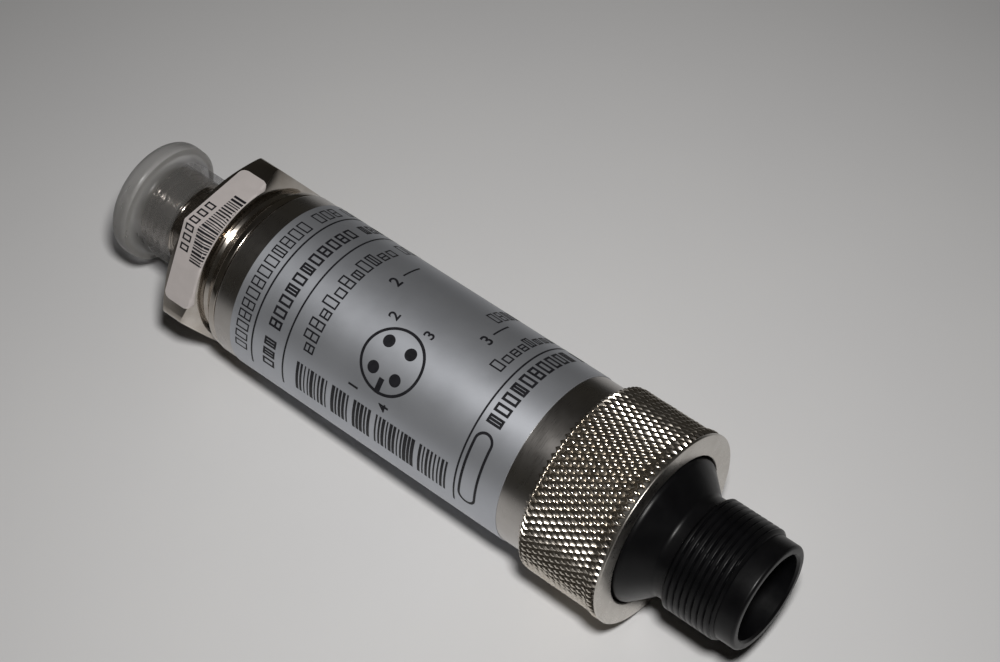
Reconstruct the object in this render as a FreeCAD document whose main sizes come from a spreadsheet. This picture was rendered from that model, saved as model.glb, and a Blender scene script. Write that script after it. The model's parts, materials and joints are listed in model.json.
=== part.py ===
"""Pressure transmitter with a G1/4 port, a 27 mm steel body and an M18 plug connector.

The axis of the instrument is +X, from the pressure port to the connector, and +Z is up as it lies
on a table. The origin is on the axis, at the sealing plane of the port's collar. Sizes are in mm.
"""
import FreeCAD, Part
import math
import os
import Sketcher

Vector = FreeCAD.Vector
ALONG_X = FreeCAD.Rotation(Vector(0, 1, 0), 90)

# Driving dimensions: alias, value, meaning.
DRIVING_SIZES = [
    ("port_thread_dia", 13.16, "G1/4 A, outside diameter"),
    ("port_length", 12.0, "stub from the sealing plane to its end"),
    ("port_lead_in", 1.0, "chamfer at the stub's end"),
    ("undercut_depth", 0.88, "thread undercut next to the collar, radial"),
    ("undercut_length", 4.2, "length of the undercut"),
    ("undercut_slope", 0.7, "length of the slope from undercut to thread"),
    ("port_bore_dia", 5.0, "pressure bore"),
    ("port_bore_edge", 0.4, "chamfer at the bore's mouth"),
    ("collar_rim", 1.15, "rim of the collar outside the seal groove, radial"),
    ("collar_height", 1.4, "collar from the sealing plane to the hexagon"),
    ("seal_groove_width", 2.65, "groove in the collar's face, radial"),
    ("seal_groove_depth", 1.6, "depth of that groove"),
    ("seal_stand_proud", 0.25, "how far the relaxed seal stands out of its groove"),
    ("seal_clearance", 0.05, "seal ring to groove wall"),
    ("hex_flats", 27.0, "hexagon, width across flats"),
    ("hex_height", 6.6, "hexagon, length along the axis"),
    ("hex_face_inset", 0.7, "end faces of the hexagon inside its flats, radial"),
    ("hex_chamfer_angle", 30.0, "slope of the chamfers to the end faces, degrees"),
    ("neck_depth", 1.5, "groove behind the hexagon, below its flats"),
    ("neck_length", 2.15, "length of the groove"),
    ("flange_inset", 0.2, "rim that the tube is welded to, below the tube"),
    ("flange_length", 1.25, "length of the rim"),
    ("flange_round", 0.3, "rounding of the rim"),
    ("weld_depth", 1.2, "bottom of the weld seam, below the tube"),
    ("weld_gap", 0.2, "width of the seam between rim and tube"),
    ("spigot_length", 4.4, "spigot inside the tube"),
    ("spigot_clearance", 0.05, "spigot to tube, radial"),
    ("tube_dia", 27.0, "housing tube, outside"),
    ("tube_wall", 1.5, "housing tube, wall"),
    ("tube_length", 69.3, "housing tube, length"),
    ("tube_edge", 0.2, "chamfer at the tube's ends"),
    ("label_start", 3.4, "bare tube before the label"),
    ("label_end_gap", 15.35, "label to the tube's end, partly under the ring"),
    ("label_sweep", 348.0, "label round the tube, degrees"),
    ("label_seam_angle", 220.0, "middle of the label's open seam, degrees from +Y over +Z"),
    ("foil_thickness", 0.1, "thickness of the label and the sticker"),
    ("glue_gap", 0.01, "glue line under the label and the sticker"),
    ("sticker_width", 5.3, "sticker along the axis"),
    ("sticker_upper", 12.4, "sticker from the hexagon's ridge up over the top flat"),
    ("sticker_lower", 13.0, "sticker from the ridge down over the next flat"),
    ("sticker_corner", 1.0, "rounding of the sticker's corners"),
    ("cell_seat_depth", 3.0, "counterbore for the pressure cell"),
    ("cell_seat_clearance", 0.05, "cell to counterbore, radial"),
    ("cell_flange_dia", 16.0, "pressure cell, flange"),
    ("cell_flange_height", 1.5, "pressure cell, flange"),
    ("cell_dia", 13.0, "pressure cell, cup"),
    ("cell_height", 6.0, "pressure cell, whole height"),
    ("cell_bore_dia", 6.0, "pressure cell, hollow"),
    ("membrane_thickness", 0.5, "pressure cell, membrane"),
    ("sensor_board_hole", 6.6, "hole in the sensor board over the membrane"),
    ("sensor_board_thickness", 0.8, "sensor board"),
    ("liner_clearance", 0.1, "insulating sleeve to tube, radial"),
    ("liner_wall", 0.5, "insulating sleeve, wall"),
    ("liner_end_gap", 0.2, "insulating sleeve to its neighbours, along the axis"),
    ("holder_clearance", 0.05, "board holders to sleeve, radial"),
    ("holder_thickness", 3.0, "board holders"),
    ("holder_window_width", 7.0, "window for the ribbon and the leads"),
    ("holder_window_height", 6.5, "window, above the board slot"),
    ("board_gap", 3.0, "sensor board to the main board's holder"),
    ("board_end_gap", 4.7, "main board to the connector's skirt"),
    ("board_width", 18.0, "main board, width"),
    ("board_thickness", 1.6, "main board, thickness"),
    ("board_slot_clearance", 0.05, "board to the holders' slots"),
    ("ribbon_width", 5.0, "flexible cable, width"),
    ("ribbon_thickness", 0.3, "flexible cable, thickness"),
    ("wire_dia", 1.3, "insulated lead"),
    ("ring_length", 14.0, "knurled ring, length"),
    ("ring_wall", 1.44, "knurled ring, wall over the knurl"),
    ("ring_flare_rise", 0.3, "plain rim at the ring's front, above the knurl"),
    ("ring_flare_length", 1.9, "length of that rim"),
    ("ring_flare_slope", 0.4, "slope between knurl and rim"),
    ("ring_rear_round", 0.9, "rounding of the ring's rear edge"),
    ("ring_front_round", 0.6, "rounding of the ring's front edge"),
    ("ring_lip", 1.8, "inward lip that holds the connector"),
    ("ring_lip_round", 0.25, "rounding of the lip's edge"),
    ("ring_thread_clearance", 0.06, "running fit of the ring on the tube's M27x1, radial"),
    ("ring_hole_clearance", 0.2, "lip to connector, radial"),
    ("ring_seat_gap", 0.1, "lip to the connector's flange, along the axis"),
    ("plug_flange_inset", 0.3, "connector, clamped flange inside the tube's outside, radial"),
    ("plug_flange_thickness", 1.7, "connector, clamped flange"),
    ("plug_shoulder", 1.6, "connector, flange held by the lip, radial"),
    ("plug_disc_length", 1.45, "connector, disc from the flange to its dome"),
    ("plug_dome_angle", 40.0, "connector, slope of the dome to the axis, degrees"),
    ("plug_dome_round", 0.8, "connector, rounding from disc to dome"),
    ("plug_neck_depth", 0.75, "connector, neck below the thread"),
    ("plug_neck_length", 2.1, "connector, neck"),
    ("plug_neck_round", 1.6, "connector, rounding from dome to neck"),
    ("plug_thread_dia", 17.7, "connector, M18x1 as moulded"),
    ("plug_thread_length", 8.5, "connector, thread"),
    ("plug_thread_slope", 0.25, "connector, slopes at the thread's ends"),
    ("plug_nose_inset", 0.58, "connector, plain nose below the thread"),
    ("plug_nose_length", 3.1, "connector, plain nose"),
    ("plug_nose_round", 0.5, "connector, rounding of the nose"),
    ("plug_wall", 1.3, "connector, wall of the socket at the neck"),
    ("plug_mouth_edge", 0.3, "connector, chamfer of the socket's mouth"),
    ("plug_insert_depth", 14.5, "connector, mouth to the contact insert"),
    ("plug_skirt_length", 6.9, "connector, skirt inside the tube"),
    ("plug_skirt_clearance", 0.3, "connector, skirt to tube, radial"),
    ("plug_skirt_wall", 2.2, "connector, skirt wall"),
    ("plug_key_width", 1.4, "connector, key rib in the socket"),
    ("plug_key_height", 0.8, "connector, key rib in the socket"),
    ("plug_key_recess", 6.1, "connector, mouth to key rib"),
    ("seal_cord_dia", 1.4, "O-ring, section"),
    ("seal_cord_gap", 0.03, "O-ring to tube and to its groove"),
    ("seal_cord_room", 0.4, "O-ring groove wider than the section by"),
    ("insert_length", 5.3, "contact insert in the socket"),
    ("insert_flange_rise", 1.6, "contact insert, flange outside the socket's wall, radial"),
    ("insert_flange_thickness", 1.8, "contact insert, flange"),
    ("insert_clearance", 0.06, "contact insert to connector, radial"),
    ("pin_circle_dia", 7.2, "circle through the four contacts"),
    ("pin_dia", 1.0, "contact, front"),
    ("pin_collar_dia", 1.6, "contact, collar"),
    ("pin_collar_length", 2.5, "contact, collar"),
    ("pin_tail_dia", 0.8, "contact, solder tail"),
    ("pin_tail_length", 4.5, "contact, solder tail"),
    ("pin_recess", 5.1, "socket mouth to the contacts' tips"),
    ("pin_round", 0.45, "contact, rounded tip"),
    ("pin_clearance", 0.02, "contact to insert, radial"),
    ("cap_grip_clearance", 0.06, "cap on the stub, radial"),
    ("cap_wall", 1.06, "cap, wall of the sleeve"),
    ("cap_cover", 7.6, "how far the cap reaches over the stub"),
    ("cap_end_gap", 0.3, "stub's end to the cap's end wall"),
    ("cap_end_wall", 1.2, "cap, end wall"),
    ("cap_bead_rise", 1.95, "cap, bead above the sleeve"),
    ("cap_bead_length", 3.5, "cap, bead along the axis"),
    ("cap_bead_round", 1.7, "cap, rounding of the bead"),
    ("cap_bead_place", 1.12, "cap, stub's end to the bead's start"),
    ("cap_recess_inset", 4.15, "cap, recess in its end inside the bead"),
]


class Size:
    """A length that carries its value and the spreadsheet expression that gives it."""

    def __init__(self, value, text):
        self.value = float(value)
        self.text = text

    @staticmethod
    def of(other):
        return other if isinstance(other, Size) else Size(other, repr(float(other)))

    def __add__(self, other):
        other = Size.of(other)
        return Size(self.value + other.value, "(%s + %s)" % (self.text, other.text))

    def __sub__(self, other):
        other = Size.of(other)
        return Size(self.value - other.value, "(%s - %s)" % (self.text, other.text))

    def __mul__(self, factor):
        factor = Size.of(factor)
        return Size(self.value * factor.value, "(%s * %s)" % (self.text, factor.text))

    def __truediv__(self, divisor):
        divisor = Size.of(divisor)
        return Size(self.value / divisor.value, "(%s / %s)" % (self.text, divisor.text))

    def __neg__(self):
        return Size(-self.value, "(-1 * %s)" % self.text)

    __radd__ = __add__
    __rmul__ = __mul__

    def tangent(self):
        """The tangent of an angle in degrees."""
        return Size(math.tan(math.radians(self.value)), "tan(%s * 1 deg)" % self.text)


doc = FreeCAD.newDocument("PressureTransmitter")
sheet = doc.addObject("Spreadsheet::Sheet", "Sizes")
for row, (alias, value, meaning) in enumerate(DRIVING_SIZES, start=1):
    sheet.set("A%d" % row, meaning)
    sheet.set("B%d" % row, repr(value))
    sheet.setAlias("B%d" % row, alias)
doc.recompute()
named = {alias: Size(value, "Sizes." + alias) for alias, value, meaning in DRIVING_SIZES}
ZERO = Size.of(0)
nodes = []


def size(alias):
    return named[alias]


def radius(alias):
    return named[alias] / 2


def keep(item, label):
    """Registers a finished sub-part under the name of its file."""
    item.Label = label
    nodes.append(item)
    return item


def bind(item, **sizes):
    """Ties properties to sizes; a double underscore in a name stands for a dot."""
    for name, value in sizes.items():
        item.setExpression(name.replace("__", "."), value.text)


def origin_plane(body, role):
    return [plane for plane in body.Origin.OriginFeatures if plane.Role == role][0]


def new_body(name):
    return doc.addObject("PartDesign::Body", name + "_body")


def new_sketch(body, name, role, offset=None):
    """A sketch on one of the body's own planes, moved along the plane's normal by offset."""
    sketch = body.newObject("Sketcher::SketchObject", name)
    sketch.AttachmentSupport = (origin_plane(body, role), "")
    sketch.MapMode = "FlatFace"
    if offset is not None:
        bind(sketch, AttachmentOffset__Base__z=offset)
    return sketch


def place_point(sketch, line, across, up):
    """Holds the start of a line at a place given by two sizes."""
    if across.value == 0:
        sketch.addConstraint(Sketcher.Constraint("PointOnObject", line, 1, -2))
    else:
        index = sketch.addConstraint(Sketcher.Constraint("DistanceX", line, 1, across.value))
        sketch.setExpression("Constraints[%d]" % index, across.text)
    if up.value == 0:
        sketch.addConstraint(Sketcher.Constraint("PointOnObject", line, 1, -1))
    else:
        index = sketch.addConstraint(Sketcher.Constraint("DistanceY", line, 1, up.value))
        sketch.setExpression("Constraints[%d]" % index, up.text)


def draw_outline(sketch, corners):
    """Draws a closed outline through corners (across, up) or (across, up, rounding)."""
    corners = [tuple(Size.of(number) for number in corner) for corner in corners]
    count = len(corners)
    for index, corner in enumerate(corners):
        following = corners[(index + 1) % count]
        start = Vector(corner[0].value, corner[1].value, 0)
        end = Vector(following[0].value, following[1].value, 0)
        sketch.addGeometry(Part.LineSegment(start, end), False)
    for index in range(count):
        sketch.addConstraint(Sketcher.Constraint("Coincident", index, 2, (index + 1) % count, 1))
    for index, corner in enumerate(corners):
        place_point(sketch, index, corner[0], corner[1])
    for index, corner in enumerate(corners):
        if len(corner) == 3:
            arc = sketch.GeometryCount
            sketch.fillet((index - 1) % count, 2, corner[2].value, True, True)
            rounding = sketch.addConstraint(Sketcher.Constraint("Radius", arc, corner[2].value))
            sketch.setExpression("Constraints[%d]" % rounding, corner[2].text)


def turn(body, name, corners, kind="PartDesign::Revolution"):
    """Revolves an outline of (x, r) corners about the X axis, to add or to cut a groove."""
    sketch = new_sketch(body, name + "_profile", "XZ_Plane")
    draw_outline(sketch, corners)
    feature = body.newObject(kind, name)
    feature.Profile = sketch
    feature.ReferenceAxis = (sketch, ["H_Axis"])
    feature.Angle = 360
    body.Tip = feature
    doc.recompute()
    return feature


def turned_part(label, corners):
    """A whole sub-part turned about the X axis."""
    body = new_body(label)
    turn(body, label + "_turned", corners)
    return keep(body, label)


def block(name, low, extent):
    """A box from its low corner and its three sizes."""
    box = doc.addObject("Part::Box", name)
    low = [Size.of(number) for number in low]
    extent = [Size.of(number) for number in extent]
    bind(box, Length=extent[0], Width=extent[1], Height=extent[2])
    bind(box, Placement__Base__x=low[0], Placement__Base__y=low[1], Placement__Base__z=low[2])
    return box


def rod(name, start, length, rod_radius, across=ZERO, up=ZERO):
    """A cylinder along +X."""
    cylinder = doc.addObject("Part::Cylinder", name)
    cylinder.Placement = FreeCAD.Placement(Vector(0, 0, 0), ALONG_X)
    bind(cylinder, Radius=rod_radius, Height=length)
    bind(cylinder, Placement__Base__x=start, Placement__Base__y=across, Placement__Base__z=up)
    return cylinder


def cut(name, base, tools):
    """The base less all the tools."""
    if len(tools) > 1:
        tool = doc.addObject("Part::MultiFuse", name + "_tools")
        tool.Shapes = tools
    else:
        tool = tools[0]
    result = doc.addObject("Part::Cut", name)
    result.Base = base
    result.Tool = tool
    return result


# Stations along the axis, worked out from the driving dimensions.
port_end = -size("port_length")
thread_radius = radius("port_thread_dia")
undercut_radius = thread_radius - size("undercut_depth")
seal_groove_radius = undercut_radius + size("seal_groove_width")
hex_start = size("collar_height")
hex_end = hex_start + size("hex_height")
neck_end = hex_end + size("neck_length")
flange_end = neck_end + size("flange_length")
tube_start = flange_end + size("weld_gap")
tube_end = tube_start + size("tube_length")
spigot_end = tube_start + size("spigot_length")
cell_start = spigot_end - size("cell_seat_depth")
cell_top = cell_start + size("cell_height")
sensor_board_top = cell_top + size("sensor_board_thickness")
label_start = tube_start + size("label_start")
plug_front = tube_end + size("plug_flange_thickness")
ring_end = plug_front + size("ring_seat_gap") + size("ring_lip")
ring_start = ring_end - size("ring_length")
dome_start = plug_front + size("plug_disc_length")
flange_radius = radius("tube_dia") - size("plug_flange_inset")
disc_radius = flange_radius - size("plug_shoulder")
plug_neck_radius = radius("plug_thread_dia") - size("plug_neck_depth")
socket_radius = plug_neck_radius - size("plug_wall")
insert_flange_radius = socket_radius + size("insert_flange_rise")
neck_drop = disc_radius - plug_neck_radius
dome_end = dome_start + neck_drop / size("plug_dome_angle").tangent()
plug_thread_start = dome_end + size("plug_neck_length")
plug_thread_end = plug_thread_start + size("plug_thread_length")
nose_start = plug_thread_end + size("plug_thread_slope")
plug_end = nose_start + size("plug_nose_length")
skirt_start = tube_end - size("plug_skirt_length")
insert_front = plug_end - size("plug_insert_depth")
insert_shoulder = insert_front - size("insert_length")
insert_rear = insert_shoulder - size("insert_flange_thickness")
tail_start = insert_rear - size("pin_tail_length") + size("pin_tail_dia")
tube_bore_radius = radius("tube_dia") - size("tube_wall")
liner_inner_radius = tube_bore_radius - size("liner_clearance") - size("liner_wall")
holder_radius = liner_inner_radius - size("holder_clearance")
front_holder_start = sensor_board_top + size("board_gap")
board_end = skirt_start - size("board_end_gap")
rear_holder_start = board_end - size("holder_thickness")
board_top = size("board_thickness") / 2


def make_port_fitting():
    """Stub, collar, hexagon, neck, rim and spigot, all turned and milled from one bar."""
    body = new_body("port_fitting")
    blank = new_sketch(body, "hexagon", "YZ_Plane", hex_start)
    flat = radius("hex_flats")
    half_side = flat * Size.of(math.tan(math.radians(30)))
    corner = half_side * 2
    draw_outline(blank, [
        (corner, ZERO), (half_side, flat), (-half_side, flat),
        (-corner, ZERO), (-half_side, -flat), (half_side, -flat),
    ])
    hexagon = body.newObject("PartDesign::Pad", "hexagon_pad")
    hexagon.Profile = blank
    bind(hexagon, Length=size("hex_height"))
    body.Tip = hexagon
    doc.recompute()

    reach = size("hex_flats")
    face_radius = radius("hex_flats") - size("hex_face_inset")
    chamfer_run = (reach - face_radius) * size("hex_chamfer_angle").tangent()
    for name, face, run in (("rear", hex_start, chamfer_run), ("front", hex_end, -chamfer_run)):
        turn(body, name + "_chamfer", [
            (face, face_radius), (face + run, reach), (face, reach),
        ], "PartDesign::Groove")

    undercut_start = -size("undercut_length")
    slope_start = undercut_start - size("undercut_slope")
    spigot = tube_bore_radius - size("spigot_clearance")
    collar = seal_groove_radius + size("collar_rim")
    neck = radius("hex_flats") - size("neck_depth")
    rim = radius("tube_dia") - size("flange_inset")
    root = radius("tube_dia") - size("weld_depth")
    rim_round = size("flange_round")
    turn(body, "turned_blank", [
        (port_end, ZERO),
        (port_end, thread_radius - size("port_lead_in")),
        (port_end + size("port_lead_in"), thread_radius),
        (slope_start, thread_radius),
        (undercut_start, undercut_radius),
        (ZERO, undercut_radius),
        (ZERO, collar),
        (hex_start, collar),
        (hex_start, neck),
        (neck_end, neck),
        (neck_end, rim, rim_round),
        (flange_end, rim, rim_round),
        (flange_end, root),
        (tube_start, root),
        (tube_start, spigot),
        (spigot_end, spigot),
        (spigot_end, ZERO),
    ])
    turn(body, "seal_groove", [
        (-size("seal_stand_proud"), undercut_radius),
        (size("seal_groove_depth"), undercut_radius),
        (size("seal_groove_depth"), seal_groove_radius),
        (-size("seal_stand_proud"), seal_groove_radius),
    ], "PartDesign::Groove")
    seat = radius("cell_flange_dia") + size("cell_seat_clearance")
    turn(body, "pressure_bore", [
        (port_end, ZERO),
        (port_end, radius("port_bore_dia") + size("port_bore_edge")),
        (port_end + size("port_bore_edge"), radius("port_bore_dia")),
        (cell_start, radius("port_bore_dia")),
        (cell_start, seat),
        (spigot_end, seat),
        (spigot_end, ZERO),
    ], "PartDesign::Groove")
    keep(body, "port_fitting")


def make_port_seal():
    """Profile ring in the groove of the collar's face."""
    clearance = size("seal_clearance")
    inner = undercut_radius + clearance
    outer = seal_groove_radius - clearance
    root = size("seal_groove_depth") - clearance
    turned_part("port_seal_ring", [
        (-size("seal_stand_proud"), inner), (root, inner), (root, outer),
        (ZERO, outer), (-size("seal_stand_proud"), outer - size("seal_stand_proud")),
    ])


def make_protective_cap():
    """Soft cap pushed on the stub, with a rounded bead at its closed end."""
    grip = thread_radius + size("cap_grip_clearance")
    sleeve = grip + size("cap_wall")
    bead = sleeve + size("cap_bead_rise")
    recess = bead - size("cap_recess_inset")
    mouth = port_end + size("cap_cover")
    wall_inside = port_end - size("cap_end_gap")
    wall_outside = wall_inside - size("cap_end_wall")
    bead_start = port_end + size("cap_bead_place")
    bead_end = bead_start - size("cap_bead_length")
    bead_round = size("cap_bead_round")
    edge = size("cap_end_gap")
    turned_part("protective_cap", [
        (wall_inside, ZERO),
        (wall_inside, grip),
        (mouth, grip),
        (mouth, sleeve, edge),
        (bead_start, sleeve),
        (bead_start, bead, bead_round),
        (bead_end, bead, bead_round),
        (bead_end, recess),
        (wall_outside, recess),
        (wall_outside, ZERO),
    ])


def make_hex_sticker():
    """Paper sticker bent over the ridge between the top flat and the next one."""
    body = new_body("hex_sticker")
    inner = radius("hex_flats") + size("glue_gap")
    outer = inner + size("foil_thickness")
    side = Size.of(math.tan(math.radians(30)))
    lean = math.cos(math.radians(60))
    rise = math.sin(math.radians(60))

    def over_lower_flat(distance, run):
        """A point at a distance from the axis, run down the second flat from the ridge."""
        return (-(distance * side) - run * lean, distance - run * rise)

    sketch = new_sketch(body, "sticker_section", "YZ_Plane",
                        hex_start + (size("hex_height") - size("sticker_width")) * 0.85)
    draw_outline(sketch, [
        (size("sticker_upper") - inner * side, inner),
        (-(inner * side), inner),
        over_lower_flat(inner, size("sticker_lower")),
        over_lower_flat(outer, size("sticker_lower") + size("foil_thickness") * side),
        (-(outer * side), outer),
        (size("sticker_upper") - inner * side, outer),
    ])
    strip = body.newObject("PartDesign::Pad", "sticker_strip")
    strip.Profile = sketch
    bind(strip, Length=size("sticker_width"))
    body.Tip = strip
    doc.recompute()
    corners = [
        "Edge%d" % (index + 1) for index, edge in enumerate(strip.Shape.Edges)
        if edge.Length < 1.5 * size("foil_thickness").value
        and edge.BoundBox.XLength < size("foil_thickness").value / 2
        and abs(edge.CenterOfMass.y + outer.value * side.value) > 1
    ]
    rounded = body.newObject("PartDesign::Fillet", "sticker_corners")
    rounded.Base = (strip, corners)
    bind(rounded, Radius=size("sticker_corner"))
    body.Tip = rounded
    doc.recompute()
    reach = size("hex_flats")
    bevel = size("hex_chamfer_angle").tangent()
    skin = radius("hex_flats") - size("hex_face_inset") + size("foil_thickness")
    run = (reach - skin) * bevel
    for name, face, along in (("rear", hex_start, run), ("front", hex_end, -run)):
        turn(body, name + "_sticker_bevel", [
            (face, skin), (face + along, reach), (face, reach),
        ], "PartDesign::Groove")
    keep(body, "hex_sticker")


def make_housing_tube():
    edge = size("tube_edge")
    outer = radius("tube_dia")
    turned_part("housing_tube", [
        (tube_start, tube_bore_radius),
        (tube_start, outer - edge),
        (tube_start + edge, outer),
        (tube_end - edge, outer),
        (tube_end, outer - edge),
        (tube_end, tube_bore_radius),
    ])


def make_type_label():
    """Foil wound on the tube, with an open seam where its ends nearly meet."""
    under = radius("tube_dia") + size("glue_gap")
    length = tube_end - size("label_end_gap") - label_start
    foil = rod("label_foil", label_start, length, under + size("foil_thickness"))
    bind(foil, Angle=size("label_sweep"))
    seam_start = size("label_seam_angle").value + (360 - size("label_sweep").value) / 2
    turned = FreeCAD.Rotation(Vector(1, 0, 0), seam_start + 90)
    foil.Placement = FreeCAD.Placement(Vector(label_start.value, 0, 0), turned * ALONG_X)
    core = rod("label_core", label_start, length, under)
    keep(cut("type_label_cut", foil, [core]), "type_label")


def make_sensor():
    """Steel pressure cell with its membrane, the board on it and the ribbon from it."""
    turned_part("sensor_cell", [
        (cell_start, radius("cell_bore_dia")),
        (cell_start, radius("cell_flange_dia")),
        (cell_start + size("cell_flange_height"), radius("cell_flange_dia")),
        (cell_start + size("cell_flange_height"), radius("cell_dia")),
        (cell_top, radius("cell_dia")),
        (cell_top, ZERO),
        (cell_top - size("membrane_thickness"), ZERO),
        (cell_top - size("membrane_thickness"), radius("cell_bore_dia")),
    ])
    turned_part("sensor_board", [
        (cell_top, radius("sensor_board_hole")),
        (cell_top, radius("cell_dia")),
        (sensor_board_top, radius("cell_dia")),
        (sensor_board_top, radius("sensor_board_hole")),
    ])
    body = new_body("sensor_ribbon")
    thickness = size("ribbon_thickness")
    sketch = new_sketch(body, "ribbon_path", "XZ_Plane")
    tab_low = radius("sensor_board_hole") + thickness
    level = radius("cell_dia") - thickness * 2
    ramp_start = sensor_board_top + size("board_gap") / 2
    landing = front_holder_start + size("holder_thickness") + thickness * 2
    pad_end = landing + size("ribbon_width") / 2
    draw_outline(sketch, [
        (sensor_board_top, tab_low),
        (sensor_board_top, level + thickness),
        (ramp_start + thickness / 2, level + thickness),
        (landing + thickness / 2, board_top + thickness),
        (pad_end, board_top + thickness),
        (pad_end, board_top),
        (landing - thickness / 2, board_top),
        (ramp_start - thickness / 2, level),
        (sensor_board_top + thickness, level),
        (sensor_board_top + thickness, tab_low),
    ])
    strip = body.newObject("PartDesign::Pad", "ribbon_strip")
    strip.Profile = sketch
    strip.Midplane = True
    bind(strip, Length=size("ribbon_width"))
    body.Tip = strip
    doc.recompute()
    keep(body, "sensor_ribbon")


def make_liner():
    outer = tube_bore_radius - size("liner_clearance")
    start = spigot_end + size("liner_end_gap")
    end = skirt_start - size("liner_end_gap")
    turned_part("insulating_sleeve", [
        (start, liner_inner_radius), (start, outer), (end, outer), (end, liner_inner_radius),
    ])


def make_board_holders():
    """Moulded discs in the sleeve, with a slot for the board and a window above it."""
    slack = size("board_slot_clearance")
    thickness = size("holder_thickness")
    window = size("holder_window_width")
    for label, start in (("board_holder_front", front_holder_start), ("board_holder_rear", rear_holder_start)):
        disc = rod(label + "_disc", start, thickness, holder_radius)
        slot = block(label + "_slot", (start, -(size("board_width") / 2) - slack, -board_top - slack),
                     (thickness, size("board_width") + slack * 2, size("board_thickness") + slack * 2))
        opening = block(label + "_window", (start, -(window / 2), ZERO),
                        (thickness, window, board_top + size("holder_window_height")))
        keep(cut(label + "_cut", disc, [slot, opening]), label)


def make_main_board():
    """Circuit board with its parts: two chips, two capacitors and a surge arrester."""
    start = front_holder_start
    length = board_end - start
    board = block("main_board_box", (start, -(size("board_width") / 2), -board_top),
                  (length, size("board_width"), size("board_thickness")))
    keep(board, "main_board")
    for label, share, across, extent in (
        ("amplifier_chip", 0.371, -3.0, (9.9, 6.0, 1.75)),
        ("converter_chip", 0.629, -3.2, (7.2, 6.4, 2.0)),
        ("surge_arrester", 0.808, -5.7, (4.6, 3.6, 2.4)),
    ):
        low = (start + length * share - extent[0] / 2, Size.of(across - extent[1] / 2), board_top)
        keep(block(label + "_box", low, extent), label)
    for label, share in (("capacitor_1", 0.414), ("capacitor_2", 0.629)):
        can = doc.addObject("Part::Cylinder", label + "_can")
        can.Radius = 2.5
        can.Height = 5.8
        bind(can, Placement__Base__x=start + length * share, Placement__Base__z=board_top)
        can.Placement.Base.y = 5.0
        keep(can, label)


def make_connector():
    """Moulded connector: skirt in the tube, clamped flange, dome, neck, thread and nose."""
    body = new_body("connector_body")
    skirt = tube_bore_radius - size("plug_skirt_clearance")
    hollow = skirt - size("plug_skirt_wall")
    groove_floor = tube_bore_radius - size("seal_cord_dia") - size("seal_cord_gap") * 2
    groove_middle = (skirt_start + tube_end) / 2
    half_groove = (size("seal_cord_dia") + size("seal_cord_room")) / 2
    socket = socket_radius
    seat = insert_flange_radius + size("insert_clearance")
    slope = size("plug_thread_slope")
    nose = radius("plug_thread_dia") - size("plug_nose_inset")
    turn(body, "connector_shell", [
        (skirt_start, hollow),
        (skirt_start, skirt),
        (groove_middle - half_groove, skirt),
        (groove_middle - half_groove, groove_floor),
        (groove_middle + half_groove, groove_floor),
        (groove_middle + half_groove, skirt),
        (tube_end, skirt),
        (tube_end, flange_radius),
        (plug_front, flange_radius),
        (plug_front, disc_radius),
        (dome_start, disc_radius, size("plug_dome_round")),
        (dome_end, plug_neck_radius, size("plug_neck_round")),
        (plug_thread_start - slope, plug_neck_radius),
        (plug_thread_start, radius("plug_thread_dia")),
        (plug_thread_end, radius("plug_thread_dia")),
        (nose_start, nose),
        (plug_end, nose, size("plug_nose_round")),
        (plug_end, socket + size("plug_mouth_edge")),
        (plug_end - size("plug_mouth_edge"), socket),
        (insert_shoulder, socket),
        (insert_shoulder, seat),
        (insert_rear, seat),
        (insert_rear, hollow),
    ])
    section = new_sketch(body, "key_section", "YZ_Plane", insert_front)
    half_key = size("plug_key_width") / 2
    draw_outline(section, [
        (-half_key, socket - size("plug_key_height")),
        (half_key, socket - size("plug_key_height")),
        (half_key, socket + size("plug_wall") / 2),
        (-half_key, socket + size("plug_wall") / 2),
    ])
    key = body.newObject("PartDesign::Pad", "key_rib")
    key.Profile = section
    bind(key, Length=size("plug_insert_depth") - size("plug_key_recess"))
    body.Tip = key
    doc.recompute()
    keep(body, "connector_body")

    seal = doc.addObject("Part::Torus", "connector_seal")
    seal.Placement = FreeCAD.Placement(Vector(0, 0, 0), ALONG_X)
    cord = radius("seal_cord_dia")
    bind(seal, Radius1=tube_bore_radius - size("seal_cord_gap") - cord, Radius2=cord)
    bind(seal, Placement__Base__x=groove_middle)
    keep(seal, "connector_seal_ring")


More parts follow.
